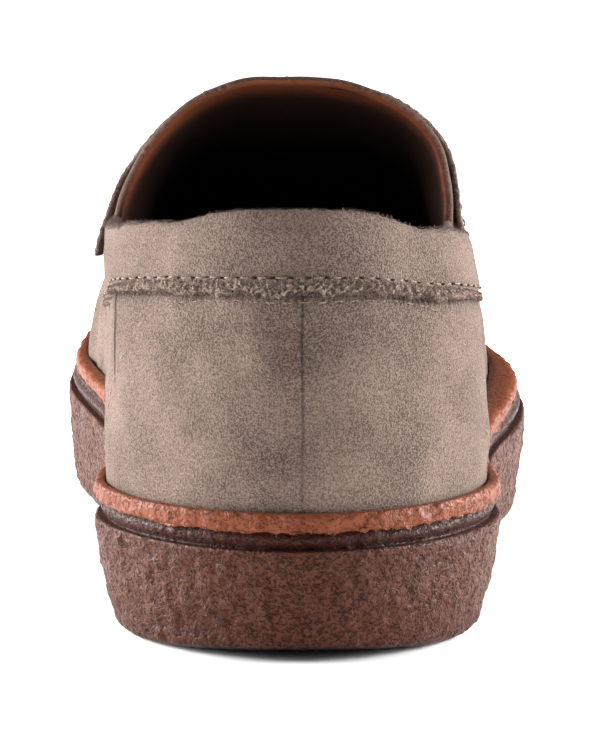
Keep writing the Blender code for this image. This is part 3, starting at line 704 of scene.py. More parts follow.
def smooth_leather(name, pale, dark, relief):
    """Lining leather: fine pores, faint long creases, rubbed patches and painted shade inside the shoe."""
    f = Finish(name)
    place = f.place()
    pores = f.cells(place, 0.0009)
    crease = f.noise(place, 0.006, 4.0, 0.6, 1.5)
    rub = f.noise(place, 0.03, 2.0)
    colour = f.mix((rub * 0.6 + crease * 0.4).smooth(0.3, 0.7), dark, pale)
    x, y, z = f.axes(place)
    # Painted shade inside the shoe: the colour goes nearly black low down and under the vamp; only the rim keeps its
    # colour.
    inner_shade = (1.0 - z.smooth(0.066, 0.086)).most(y.smooth(-0.0125, -0.0030))
    colour = f.mix(inner_shade * 0.94, colour, (0.012, 0.005, 0.004))
    height = crease * 0.7 + pores * 0.3
    return f.done(colour, 0.48 + rub * 0.2, height, relief, Specular_IOR_Level=0.35)


def thread(name, pale, dark):
    """Twisted sewing thread: slanting plies along the map."""
    f = Finish(name)
    place = f.place()
    ply = f.noise(place, 0.0004, 2.0, 0.6)
    colour = f.mix(ply.smooth(0.3, 0.7), dark, pale)
    return f.done(colour, 0.75 + ply * 0.1, ply, 0.0001, Specular_IOR_Level=0.2)


def floor_card(name):
    """Pale studio floor with the faintest unevenness."""
    f = Finish(name)
    place = f.place()
    cloud = f.noise(place, 0.4, 2.0)
    colour = f.mix(cloud, (0.93, 0.93, 0.93), (0.95, 0.95, 0.95))
    # The glow fades out near the shoe: a painted contact shadow round it, so that the cast contact shadow shows as
    # well.
    x, y, z = f.axes(place)
    past = abs(y) - 0.104
    past = past.most(0.0)
    away = (x * x + past * past) ** 0.5
    glow = away.smooth(0.042, 0.062)
    return f.done(
        colour, 0.9 + cloud * 0.05, cloud, 0.00001, Specular_IOR_Level=0.1,
        Emission_Color=f.mix(glow, (0.0, 0.0, 0.0), (1.0, 1.0, 1.0)), Emission_Strength=0.88
    )


SUEDE = suede("taupe_suede", (0.285, 0.200, 0.163), (0.038, 0.022, 0.016), True)
RAW_EDGE = suede("raw_suede_edge", (0.440, 0.325, 0.270), (0.075, 0.040, 0.027), False)
TRIM_SUEDE = suede("taupe_suede_trim", (0.275, 0.193, 0.158), (0.037, 0.021, 0.016), False)
DARK_EDGE = thread("cut_edge", (0.095, 0.052, 0.035), (0.030, 0.015, 0.010))
CREPE = crepe("crepe_wall", (0.080, 0.0238, 0.0112), (0.060, 0.0162, 0.0075), (0.020, 0.0040, 0.0020), 0.00085)
# The ledge, groove and shelf take a darker crepe: painted shade in the recess under the lip.
CREPE_GROOVE = crepe("crepe_groove", (0.044, 0.0092, 0.0048), (0.030, 0.0060, 0.0031), (0.010, 0.002, 0.001), 0.00060)
FOXING = crepe("crepe_foxing", (0.178, 0.0480, 0.0185), (0.144, 0.0355, 0.0132), (0.060, 0.0130, 0.0052), 0.00036)
# Near-black crepe for the tread and the rows under its edge: painted shade under the sole.
SHADED_TREAD_CREPE = crepe("crepe_tread_shade", (0.012, 0.004, 0.003), (0.010, 0.003, 0.002), (0.006, 0.002, 0.001), 0.00060)
LINING = smooth_leather("tan_lining", (0.170, 0.042, 0.013), (0.080, 0.019, 0.006), 0.00012)
THREAD = thread("light_thread", (0.340, 0.250, 0.205), (0.170, 0.118, 0.094))
# Near-black pieces between the stitches: painted shade inside the stitch holes.
HOLE_SHADE = thread("stitch_hole_shade", (0.030, 0.019, 0.015), (0.014, 0.009, 0.007))


UPPER_COLUMNS = 880
WALL_ROWS = 96
VAMP_ROWS = 54

# Creases, listed one by one. Columns: station, level, lean, half length, half width, depth in metres,
# side (0 for both).
CREASES = np.array([
    (0.640, 0.62, 0.020, 0.42, 0.0060, 0.00075, 1),
    (0.685, 0.55, 0.030, 0.46, 0.0065, 0.00085, 1),
    (0.655, 0.60, 0.020, 0.44, 0.0060, 0.00080, -1),
    (0.700, 0.52, 0.030, 0.44, 0.0070, 0.00075, -1),
    (0.300, 0.30, -0.020, 0.30, 0.0075, 0.00055, 1),
    (0.340, 0.34, 0.025, 0.26, 0.0065, 0.00045, -1),
    (0.120, 0.42, 0.015, 0.22, 0.0080, 0.00035, 1),
    (0.150, 0.52, -0.020, 0.24, 0.0075, 0.00040, -1),
])


def rim_level(u, side):
    """Level of the suede's own rim, which the rolled edge brings up to the topline behind the throat."""
    s = station(u)
    collar = np.minimum(s, THROAT)
    tall = topline_height(collar, side) - feather(collar)
    roll = UPPER_WALL / 2 * (1.0 - smoothstep(s, THROAT - 0.05, THROAT)) + 0.0005 * bump(s, 0.014, 0.012)
    return 1.0 - roll / tall


def drop_below_seam(u, side, level):
    """Metres below the collar seam along the wall, negative above it; far away past its front ends."""
    s = station(u)
    collar = np.minimum(s, THROAT)
    tall = topline_height(collar, side) - feather(s)
    drop = collar_height(SEAM_LINE, collar, side) - feather(s) - level * tall
    return drop + 0.5 * smoothstep(s, SEAM_END, SEAM_END + 0.02)


def upper_lift(points, u, side, level):
    """How far the suede stands off the last: puffed collar, seam step, creases and slight unevenness."""
    s = station(u)
    drop = drop_below_seam(u, side, level)
    band = 0.00075 * smoothstep(-drop, -0.0004, 0.0022) * (level <= 1.0) * (s < THROAT)
    band = band * (1.0 - smoothstep(s, SEAM_END - 0.02, SEAM_END + 0.01))
    band = band * (1.0 - smoothstep(-drop, 0.0100, 0.0140))
    tuck = -0.00055 * bump(drop, 0.0006, 0.0012)
    uneven = 0.00022 * ripple(points, 0.034, 3) + 0.00010 * ripple(points, 0.012, 4)
    lift = band + tuck + uneven * smoothstep(level, 0.04, 0.20)
    for at, high, lean, half, width, depth, which in CREASES:
        across = (s - at - lean * (level - high)) * SOLE_LENGTH
        reach = 1.0 - smoothstep(np.abs(level - high), half * 0.35, half)
        here = (side == which) * reach
        lift = lift + here * depth * (0.8 * bump(across, width * 1.1, width) - bump(across, 0.0, width * 0.6))
    # Where the vamp flexes, three shallow troughs cross it in front of the strap.
    over = smoothstep(level, 0.75, 1.15)
    for at, depth in ((0.655, 0.0006), (0.700, 0.0009), (0.742, 0.0006)):
        across = (s - at + 0.012 * (level - 1.5) ** 2) * SOLE_LENGTH
        lift = lift - over * depth * (bump(across, 0.0, 0.0038) - 0.7 * bump(across, 0.0075, 0.0050))
    return lift


def suede_upper():
    """The suede upper: the wall from feather line to topline all round, and the vamp up to the crown.

    Both are grids of turn and level, lifted along the last's normals and joined where they meet.
    """
    throat = float(turn(THROAT))
    rear = int(UPPER_COLUMNS / 2 * 0.56)
    fore = UPPER_COLUMNS // 2 - rear
    half = np.concatenate([
        np.linspace(0.0, throat, rear + 1),
        throat + (1.0 - throat) * np.linspace(0.0, 1.0, fore + 1)[1:],
    ])
    u = np.concatenate([half, half[-2:0:-1]])
    side = np.concatenate([np.full(len(half), LATERAL), np.full(len(half) - 2, MEDIAL)])
    levels = np.linspace(0.0, 1.0, WALL_ROWS)[:, None]
    wall_u, wall_side, wall_level = np.broadcast_arrays(u[None], side[None], levels * rim_level(u, side))
    keep = np.flatnonzero(u >= throat - 1e-9)
    upper_levels = np.linspace(1.0, 2.0, VAMP_ROWS)[:, None]
    vamp_u, vamp_side, vamp_level = np.broadcast_arrays(u[keep][None], side[keep][None], upper_levels)

    def lifted(u_at, side_at, level_at):
        base = at_level(u_at, side_at, level_at)
        normal = normals_at(u_at, side_at, level_at)
        lift = upper_lift(base, u_at, side_at, level_at)
        uv = np.stack([np.zeros_like(lift), drop_below_seam(u_at, side_at, level_at)], axis=-1)
        return base + normal * lift[..., None], normal, uv

    wall, wall_normal, wall_uv = lifted(wall_u, wall_side, wall_level)
    vamp, vamp_normal, vamp_uv = lifted(vamp_u, vamp_side, vamp_level)
    # The two sides of the crown row are one line.
    crown = (vamp[-1] + vamp[-1][::-1]) / 2
    vamp[-1] = crown
    vamp[0] = wall[-1][keep]
    top = at_level(u, side, np.full_like(u, 0.8))
    run = path_length(np.concatenate([top, top[:1]]))[:-1]
    run = np.minimum(run, run[-1] - run)
    wall_uv[..., 0] = run[None]
    vamp_uv[..., 0] = run[keep][None]
    vamp_uv[..., 1] = 0.05
    count = wall.shape[0] * wall.shape[1]
    faces = np.concatenate([
        quads(*wall.shape[:2], wrap_cols=True), quads(*vamp.shape[:2]) + count
    ])
    piece = mesh_piece(
        "suede_upper",
        np.concatenate([wall.reshape(-1, 3), vamp.reshape(-1, 3)]),
        faces, SUEDE,
        np.concatenate([wall_uv.reshape(-1, 2), vamp_uv.reshape(-1, 2)]),
        np.concatenate([wall_normal.reshape(-1, 3), vamp_normal.reshape(-1, 3)]),
    )
    merge(piece)
    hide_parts("upper")
    return piece


def merge(piece, gap=2e-6):
    """Welds points that lie together."""
    import bmesh

    work = bmesh.new()
    work.from_mesh(piece.data)
    bmesh.ops.remove_doubles(work, verts=work.verts, dist=gap)
    work.to_mesh(piece.data)
    work.free()
    piece.data.shade_smooth()


def topline_path(count):
    """The upper's free edge as one closed path, with its outward normals and the way off the surface.

    It follows the topline from the lateral throat round the heel to the medial throat, then climbs over
    the crown along the throat and comes back.
    """
    throat = float(turn(THROAT))
    rear = np.linspace(throat, 0.0, count)
    over = np.linspace(1.0, 2.0, count // 2)
    u = np.concatenate([rear, rear[-2::-1], np.full(len(over) - 1, throat), np.full(len(over) - 2, throat)])
    side = np.concatenate([
        np.full(count, LATERAL), np.full(count - 1, MEDIAL),
        np.full(len(over) - 1, MEDIAL), np.full(len(over) - 2, LATERAL),
    ])
    rim = rim_level(u[: 2 * count - 1], side[: 2 * count - 1])
    level = np.concatenate([rim, over[1:], over[-2:0:-1]])
    points = at_level(u, side, level)
    normal = normals_at(u, side, level)
    lift = upper_lift(points, u, side, level)
    points = points + normal * lift[:, None]
    # Even spacing, then a little smoothing of the corners where the topline meets the throat.
    closed = np.concatenate([points, points[:1]])
    run = path_length(closed)
    even = np.linspace(0.0, run[-1], 1100)[:-1]
    points = np.stack([np.interp(even, run, closed[:, k]) for k in range(3)], axis=-1)
    wrapped = np.concatenate([normal, normal[:1]])
    normal = np.stack([np.interp(even, run, wrapped[:, k]) for k in range(3)], axis=-1)
    normal = unit(soften(normal, 5))
    way = unit(np.roll(points, -3, axis=0) - np.roll(points, 3, axis=0))
    off = np.cross(normal, way)
    off = unit(soften(off, 7))
    off = off - normal * np.sum(off * normal, axis=-1, keepdims=True)
    return points, normal, unit(off), even


def soften(rows, reach):
    """Running mean round a closed path."""
    total = rows.copy()
    for k in range(1, reach + 1):
        total = total + np.roll(rows, k, axis=0) + np.roll(rows, -k, axis=0)
    return total / (2 * reach + 1)


def rolled_topline():
    """Edge of the upper: a half round from the suede's face over to the lining."""
    points, normal, off, run = topline_path(360)
    if np.mean(off[:200, 2]) < 0:
        off = -off
    angles = np.linspace(-0.35, math.pi + 0.35, 15)
    radius = UPPER_WALL / 2
    at_throat = smoothstep(points[:, 1], along(THROAT) - 0.004, along(THROAT) - 0.0005)
    soft = 1.0 + 0.10 * ripple(points, 0.012, 11) * (1.0 - at_throat)
    rough = 0.00007 * ripple(points, 0.0016, 12)
    out = np.cos(angles)[:, None] * radius - radius
    up = np.sin(angles)[:, None] * radius * soft[None] + rough[None] * np.sin(angles)[:, None]
    grid = points[None] + normal[None] * out[..., None] + off[None] * up[..., None]
    outward = grid - (points - normal * radius)[None]
    # The run is cut into the soft collar behind the throat and the throat's edge, and the latter into
    # its raw outer half and the lining turned up to it.
    faces = quads(*grid.shape[:2], wrap_cols=True)
    fore = (points[:, 1] > along(THROAT) - 0.0015)[faces[:, 0] % len(points)]
    inner = faces[:, 0] // len(points) >= len(angles) * 0.42
    parts = (
        ("collar_edge", ~fore, TRIM_SUEDE, "taupe_suede"),
        ("throat_edge", fore & ~inner, DARK_EDGE, "taupe_suede"),
        ("throat_lining", fore & inner, LINING, "tan_leather"),
    )
    for name, chosen, finish, slot in parts:
        used, corners = np.unique(faces[chosen], return_inverse=True)
        mesh_piece(
            name, grid.reshape(-1, 3)[used], corners.reshape(-1, 4), finish, None,
            outward.reshape(-1, 3)[used]
        )
    return points, normal, off


def lining():
    """Leather lining inside the wall and under the vamp, with a foot that closes it to the suede."""
    throat = float(turn(THROAT))
    half = np.concatenate([
        np.linspace(0.0, throat, 90), throat + (1.0 - throat) * np.linspace(0.0, 1.0, 60)[1:]
    ])
    u = np.concatenate([half, half[-2:0:-1]])
    side = np.concatenate([np.full(len(half), LATERAL), np.full(len(half) - 2, MEDIAL)])
    levels = np.linspace(0.0, 1.0, 40)[:, None]
    keep = np.flatnonzero(u >= throat - 1e-9)
    over = np.linspace(1.0, 2.0, 26)[:, None]

    def inner(u_at, side_at, level_at):
        u_at, side_at, level_at = np.broadcast_arrays(u_at, side_at, level_at)
        base = at_level(u_at, side_at, level_at)
        normal = normals_at(u_at, side_at, level_at)
        wave = 0.00025 * ripple(base, 0.030, 21)
        return base - normal * (UPPER_WALL + wave * smoothstep(1.0 - level_at, 0.0, 0.1))[..., None], normal

    wall, wall_normal = inner(u[None], side[None], levels * rim_level(u, side))
    vamp, vamp_normal = inner(u[keep][None], side[keep][None], over)
    vamp[-1] = (vamp[-1] + vamp[-1][::-1]) / 2
    vamp[0] = wall[-1][keep]
    foot = at_level(u, side, np.zeros_like(u))[None]
    wall = np.concatenate([foot, wall])
    wall_normal = np.concatenate([wall_normal[:1], wall_normal])
    count = wall.shape[0] * wall.shape[1]
    faces = np.concatenate([
        quads(*wall.shape[:2], wrap_cols=True), quads(*vamp.shape[:2]) + count
    ])
    piece = mesh_piece(
        "lining",
        np.concatenate([wall.reshape(-1, 3), vamp.reshape(-1, 3)]),
        faces, LINING, None,
        -np.concatenate([wall_normal.reshape(-1, 3), vamp_normal.reshape(-1, 3)]),
    )
    merge(piece)
    return piece


def seam_path(front, count):
    """Path of the collar's seam round the heel, from the lateral front end to the medial one."""
    reach = float(turn(front))
    u = np.abs(np.linspace(-reach, reach, count))
    side = np.where(np.linspace(-reach, reach, count) <= 0, LATERAL, MEDIAL)
    s = station(u)
    level = (collar_height(SEAM_LINE, s, side) - feather(s)) / (topline_height(s, side) - feather(s))
    points = at_level(u, side, level)
    normal = normals_at(u, side, level)
    lift = upper_lift(points, u, side, level)
    run = path_length(points)
    even = np.linspace(0.0, run[-1], count)
    points = points + normal * lift[:, None]
    points = np.stack([np.interp(even, run, points[:, k]) for k in range(3)], axis=-1)
    normal = unit(np.stack([np.interp(even, run, normal[:, k]) for k in range(3)], axis=-1))
    way = unit(np.gradient(points, axis=0))
    up = np.cross(normal, way)
    up = up * np.sign(up[:, 2:])
    return points, normal, unit(up), way, even


# Section of the collar's raw-edged seam, in metres off the wall and up it. Columns: out, up, raggedness.
SEAM_SECTION = np.array([
    (-0.0006, 0.0020, 0.0),
    (0.0006, 0.0018, 0.0),
    (0.0013, 0.0012, 0.2),
    (0.0018, 0.0005, 0.5),
    (0.0021, -0.0004, 0.8),
    (0.0021, -0.0012, 1.0),
    (0.0015, -0.0017, 1.0),
    (0.0008, -0.0013, 0.6),
    (-0.0004, -0.0006, 0.1),
    (-0.0009, 0.0006, 0.0),
])


def seam_size(points):
    """Share of the seam's full section: it flattens where it runs forward along the sides."""
    return 1.0 - 0.55 * smoothstep(points[:, 1], -0.132, -0.108)


def raw_seam():
    """The collar's raised seam: a lip of folded suede whose lower edge is torn and puckered."""
    count = 2400
    points, normal, up, _, run = seam_path(SEAM_END, count)
    ends = np.minimum(run, run[-1] - run)
    size = seam_size(points) * (0.35 + 0.65 * smoothstep(ends, 0.0, 0.006))
    pucker = np.sin(run * 2 * math.pi / 0.0037 + 1.3 * ripple(points, 0.012, 31))
    torn = 0.00034 * ripple(points, 0.0060, 32) + 0.00022 * ripple(points, 0.0014, 33)
    fray = 0.00008 * ripple(points, 0.0012, 34)
    key = np.arange(len(SEAM_SECTION), dtype=float)
    rows = np.linspace(0, len(SEAM_SECTION) - 1, 28)
    out, lift, rag = (np.interp(rows, key, SEAM_SECTION[:, k]) for k in range(3))
    ragged = rag[:, None] * size[None]
    outs = out[:, None] * size[None] * (1.0 + 0.08 * pucker[None] * rag[:, None]) + fray[None] * ragged
    ups = lift[:, None] * size[None] + torn[None] * ragged + 0.0001 * pucker[None] * ragged
    grid = points[None] + normal[None] * outs[..., None] + up[None] * ups[..., None]
    tufts = 0.00016 * ripple(grid, 0.0011, 35) + 0.00013 * ripple(grid, 0.0006, 36)
    grid = grid + normal[None] * (tufts * (0.3 + ragged))[..., None]
    tube_piece("collar_seam", np.swapaxes(grid, 0, 1), RAW_EDGE)
    return points, normal, up, run


def stitches(name, points, normal, pitch, length, radius, sink, finish, phase=0.5):
    """Separate sewn stitches along a path: each is a short thread whose ends dive into the suede.

    points and normal follow the path. Each stitch is a tube of rings along its own stretch of it, its
    middle at phase of a pitch from the pitch's start.
    """
    run = path_length(points)
    count = int(run[-1] / pitch)
    middles = (np.arange(count) + phase) * run[-1] / count
    shares = np.linspace(-1.0, 1.0, 7)
    around = np.arange(6) / 6 * 2 * math.pi
    at = middles[:, None] + shares[None] * length / 2
    place = np.stack([np.interp(at, run, points[:, k]) for k in range(3)], axis=-1)
    out = unit(np.stack([np.interp(at, run, normal[:, k]) for k in range(3)], axis=-1))
    way = unit(np.gradient(place, axis=1))
    across = unit(np.cross(out, way))
    jitter = np.random.default_rng(7).normal(0.0, 1.0, (count, 1))
    dive = radius * (0.55 - 1.9 * np.abs(shares[None]) ** 3) - sink
    middle = place + out * dive[..., None] + across * (jitter * 0.00006 + 0 * shares[None])[..., None]
    thick = radius * (1.0 - 0.35 * np.abs(shares[None, :, None, None]) ** 4)
    rings = middle[:, :, None] + thick * (
        np.cos(around)[None, None, :, None] * across[:, :, None]
        + np.sin(around)[None, None, :, None] * out[:, :, None]
    )
    per = len(shares) * len(around)
    one = quads(len(shares), len(around), wrap_cols=True)
    faces = (one[None] + np.arange(count)[:, None, None] * per).reshape(-1, 4)
    outward = rings - middle[:, :, None]
    return mesh_piece(name, rings, faces, finish, None, outward)


# The heel counter's stitched outline. Columns: distance from the back seam round the heel, drop from
# its flat top, in metres.
COUNTER_LINE = np.array([
    (0.000, 0.0000),
    (0.016, 0.0002),
    (0.024, 0.0010),
    (0.031, 0.0030),
    (0.037, 0.0060),
    (0.043, 0.0115),
    (0.049, 0.0185),
    (0.054, 0.0260),
    (0.060, 0.0400),
])
COUNTER_TOP = 0.0735
COUNTER_REACH = 0.060
COUNTER_HOLES_REACH = 0.036


def counter_line(reach, count):
    """The counter's stitching on the suede, within reach of the back seam on both sides."""
    wanted = np.linspace(-reach, reach, count)
    u = np.linspace(0.0, 0.5, 800)
    plan = outline(u, np.full_like(u, LATERAL), np.full_like(u, FEATHER_INSET))
    run = path_length(plan)
    at = np.interp(np.abs(wanted), run, u)
    side = np.where(wanted <= 0, LATERAL, MEDIAL)
    z = COUNTER_TOP - through(COUNTER_LINE[:, 0], COUNTER_LINE[:, 1], np.abs(wanted))
    s = station(at)
    level = rise(s, z) / seam_rise(s, side)
    points = at_level(at, side, level)
    normal = normals_at(at, side, level)
    return points + normal * upper_lift(points, at, side, level)[:, None], normal


def apron_path(level, start, count):
    """Path at a level from the lateral start station round the toe to the medial one."""
    first = float(turn(start))
    a = np.linspace(first, 2.0 - first, count)
    u = np.where(a <= 1.0, a, 2.0 - a)
    side = np.where(a <= 1.0, LATERAL, MEDIAL)
    points = at_level(u, side, np.full_like(u, level))
    normal = normals_at(u, side, np.full_like(u, level))
    points = points + normal * upper_lift(points, u, side, np.full_like(u, level))[:, None]
    run = path_length(points)
    even = np.linspace(0.0, run[-1], count)
    points = np.stack([np.interp(even, run, points[:, k]) for k in range(3)], axis=-1)
    normal = unit(np.stack([np.interp(even, run, normal[:, k]) for k in range(3)], axis=-1))
    return points, normal, even


def apron_seam():
    """Hand-sewn seam round the apron: a puckered ridge pinched between stitches that cross it."""
    points, normal, run = apron_path(1.0, 0.560, 900)
    way = unit(np.gradient(points, axis=0))
    across = np.cross(way, normal)
    pitch = 0.0042
    pinch = 0.5 + 0.5 * np.cos(run * 2 * math.pi / pitch)
    angles = np.linspace(0.0, 2 * math.pi, 16, endpoint=False)
    wide = 0.0017 * (1.0 - 0.22 * pinch) + 0.00008 * ripple(points, 0.003, 41)
    high = 0.0015 * (1.0 - 0.30 * pinch) + 0.00010 * ripple(points, 0.002, 42)
    grid = (
        points[:, None]
        + across[:, None] * (np.cos(angles)[None] * wide[:, None])[..., None]
        + normal[:, None] * (np.sin(angles)[None] * high[:, None] + 0.0002)[..., None]
    )
    tube_piece("apron_seam", grid, TRIM_SUEDE)
    # Each stitch goes over the ridge from one side to the other.
    count = int(run[-1] / pitch)
    at = np.arange(1, count) * pitch
    place = np.stack([np.interp(at, run, points[:, k]) for k in range(3)], axis=-1)
    out = unit(np.stack([np.interp(at, run, normal[:, k]) for k in range(3)], axis=-1))
    side = unit(np.stack([np.interp(at, run, across[:, k]) for k in range(3)], axis=-1))
    ahead = np.cross(out, side)
    bow = np.linspace(-0.15, math.pi + 0.15, 9)
    middle = (
        place[:, None]
        + side[:, None] * (np.cos(bow) * 0.00175)[None, :, None]
        + out[:, None] * (np.sin(bow) * 0.00125 + 0.0002)[None, :, None]
        + ahead[:, None] * (np.cos(bow) * 0.0004)[None, :, None]
    )
    radial = unit(side[:, None] * np.cos(bow)[None, :, None] + out[:, None] * np.sin(bow)[None, :, None])
    around = np.arange(6) / 6 * 2 * math.pi
    rings = middle[:, :, None] + 0.00030 * (
        np.cos(around)[None, None, :, None] * radial[:, :, None]
        + np.sin(around)[None, None, :, None] * ahead[:, None, None]
    )
    per = len(bow) * len(around)
    one = quads(len(bow), len(around), wrap_cols=True)
    faces = (one[None] + np.arange(len(at))[:, None, None] * per).reshape(-1, 4)
    mesh_piece("apron_stitches", rings, faces, THREAD, None, rings - middle[:, :, None])


def fibres(name, roots, ways, length, seed, finish, spread=0.6):
    """Loose suede fibres: each is a thin curved blade of two faces from its root."""
    rng = np.random.default_rng(seed)
    count = len(roots)
    drift = rng.normal(0.0, spread, (count, 3))
    ways = unit(ways + drift)
    bend = unit(ways + rng.normal(0.0, 0.7, (count, 3)))
    long = length * rng.uniform(0.35, 1.0, (count, 1))
    flat = unit(np.cross(ways, rng.normal(0.0, 1.0, (count, 3)))) * 0.000035
    middle = roots + ways * long * 0.55
    tip = middle + bend * long * 0.45
    rows = np.stack([roots - flat, roots + flat, middle + flat, middle - flat, tip + flat * 0.2, tip - flat * 0.2], axis=1)
    base = np.arange(count)[:, None] * 6
    faces = np.concatenate([base + np.array([[0, 1, 2, 3]]), base + np.array([[3, 2, 4, 5]])])
    return mesh_piece(name, rows, faces, finish)


def edge_fuzz(points, normal, off, seam):
    """Fibres along the rolled topline and the torn lower edge of the collar seam."""
    rng = np.random.default_rng(5)
    pick = rng.integers(0, len(points), 9000)
    behind = points[pick, 1] < along(THROAT) - 0.002
    pick = pick[behind]
    angle = rng.uniform(0.1, math.pi - 0.3, (len(pick), 1))
    radius = UPPER_WALL / 2
    way = normal[pick] * np.cos(angle) + off[pick] * np.sin(angle)
    roots = points[pick] - normal[pick] * radius + way * radius
    roots = roots + rng.normal(0.0, 0.0001, roots.shape)
    fibres("topline_fuzz", roots, way, 0.00085, 6, TRIM_SUEDE)
    seam_points, seam_normal, seam_up, run = seam
    pick = rng.integers(0, len(seam_points), 24000)
    size = seam_size(seam_points)[pick, None]
    drop = rng.uniform(-0.0018, 0.0012, (len(pick), 1)) * size
    out = (0.0017 + rng.uniform(-0.0003, 0.0003, (len(pick), 1))) * size
    roots = seam_points[pick] + seam_normal[pick] * out + seam_up[pick] * drop
    ways = seam_normal[pick] * 0.6 - seam_up[pick] * 0.8
    fibres("seam_fuzz", roots, ways, 0.00085, 8, RAW_EDGE)


def over_instep(share, across):
    """Surface point, turn, side and level of the strap: across -1 medial end, 0 crown, 1 lateral end."""
    down = np.abs(across)
    back = STRAP_BACK_TOP + (STRAP_BACK_SIDE - STRAP_BACK_TOP) * down**2
    front = STRAP_FRONT_TOP + (STRAP_FRONT_SIDE - STRAP_FRONT_TOP) * down**2
    s = back + (front - back) * share
    side = np.where(across > 0, LATERAL, MEDIAL)
    low = rise(s, STRAP_END_HEIGHT) / seam_rise(s, side)
    return turn(s), side, 2.0 - (2.0 - low) * down


def saddle_strap():
    """Strap over the instep: a rounded flat section carried from end to end, with raw edges."""
    across = np.linspace(-1.0, 1.0, 220)
    loop = np.linspace(0.0, 2 * math.pi, 64, endpoint=False)
    share = 0.5 + 0.5 * np.sign(np.cos(loop)) * np.abs(np.cos(loop)) ** 0.35
    height = 0.5 + 0.5 * np.sign(np.sin(loop)) * np.abs(np.sin(loop)) ** 0.45
    share, across_grid = np.meshgrid(share, across, indexing="xy")
    u, side, level = over_instep(share, across_grid)
    base = at_level(u, side, level)
    # At the crown both sides' normals are averaged, so that the strap has no crease there.
    normal = normals_at(u, side, level)
    tilt = np.abs(across_grid)[..., None]
    mean = unit(normal + normals_at(u, -side, level))
    normal = unit(normal * smoothstep(tilt, 0.0, 0.05) + mean * (1 - smoothstep(tilt, 0.0, 0.05)))
    lift = STRAP_LIFT + STRAP_END_LIFT * smoothstep(np.abs(across_grid), 0.80, 1.0)
    rough = 0.00010 * ripple(base, 0.0018, 51) + 0.00018 * ripple(base, 0.018, 52)
    off = lift + STRAP_THICKNESS * height[None] + rough
    grid = base + normal * off[..., None]
    piece = tube_piece("strap", grid, TRIM_SUEDE)
    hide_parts("saddle_strap")
    for name, at in (("strap_stitches_back", 0.085), ("strap_stitches_front", 0.915)):
        line = np.linspace(-0.97, 0.97, 500)
        u, side, level = over_instep(np.full_like(line, at), line)
        base = at_level(u, side, level)
        normal = normals_at(u, side, level)
        lift = STRAP_LIFT + STRAP_END_LIFT * smoothstep(np.abs(line), 0.80, 1.0) + STRAP_THICKNESS
        stitches(name, base + normal * lift[:, None], normal, 0.0036, 0.0023, 0.00026, 0.00005, THREAD)


def apron_frame(s, offset):
    """Surface point beside the crown, with its forward, sideways and normal unit vectors."""

    def place(s_at, offset_at):
        u = turn(s_at)
        side = LATERAL if offset_at >= 0 else MEDIAL
        foot = at_reach(u, side, np.float64(1.0))
        span = np.linalg.norm(foot[..., :2] - crown_plan(s_at), axis=-1)
        return at_reach(u, side, np.abs(offset_at) / span)

    point = place(s, offset)
    forward = unit(place(s + 1e-3, offset) - point)
    sideways = unit(place(s, offset + 1e-4) - place(s, offset - 1e-4))
    sideways = sideways * np.sign(sideways[0])
    return point, forward, sideways, unit(np.cross(sideways, forward))


def tassel_frames(side, shares):
    """Frames along a tassel's middle, as four arrays."""
    run = TASSEL_LENGTH / (SOLE_LENGTH * (TOE_POLE - HEEL_POLE))
    rows = [
        apron_frame(TASSEL_START + run * share, side * (TASSEL_SPREAD + TASSEL_SPLAY * share))
        for share in shares
    ]
    return [np.array([row[k] for row in rows]) for k in range(4)]


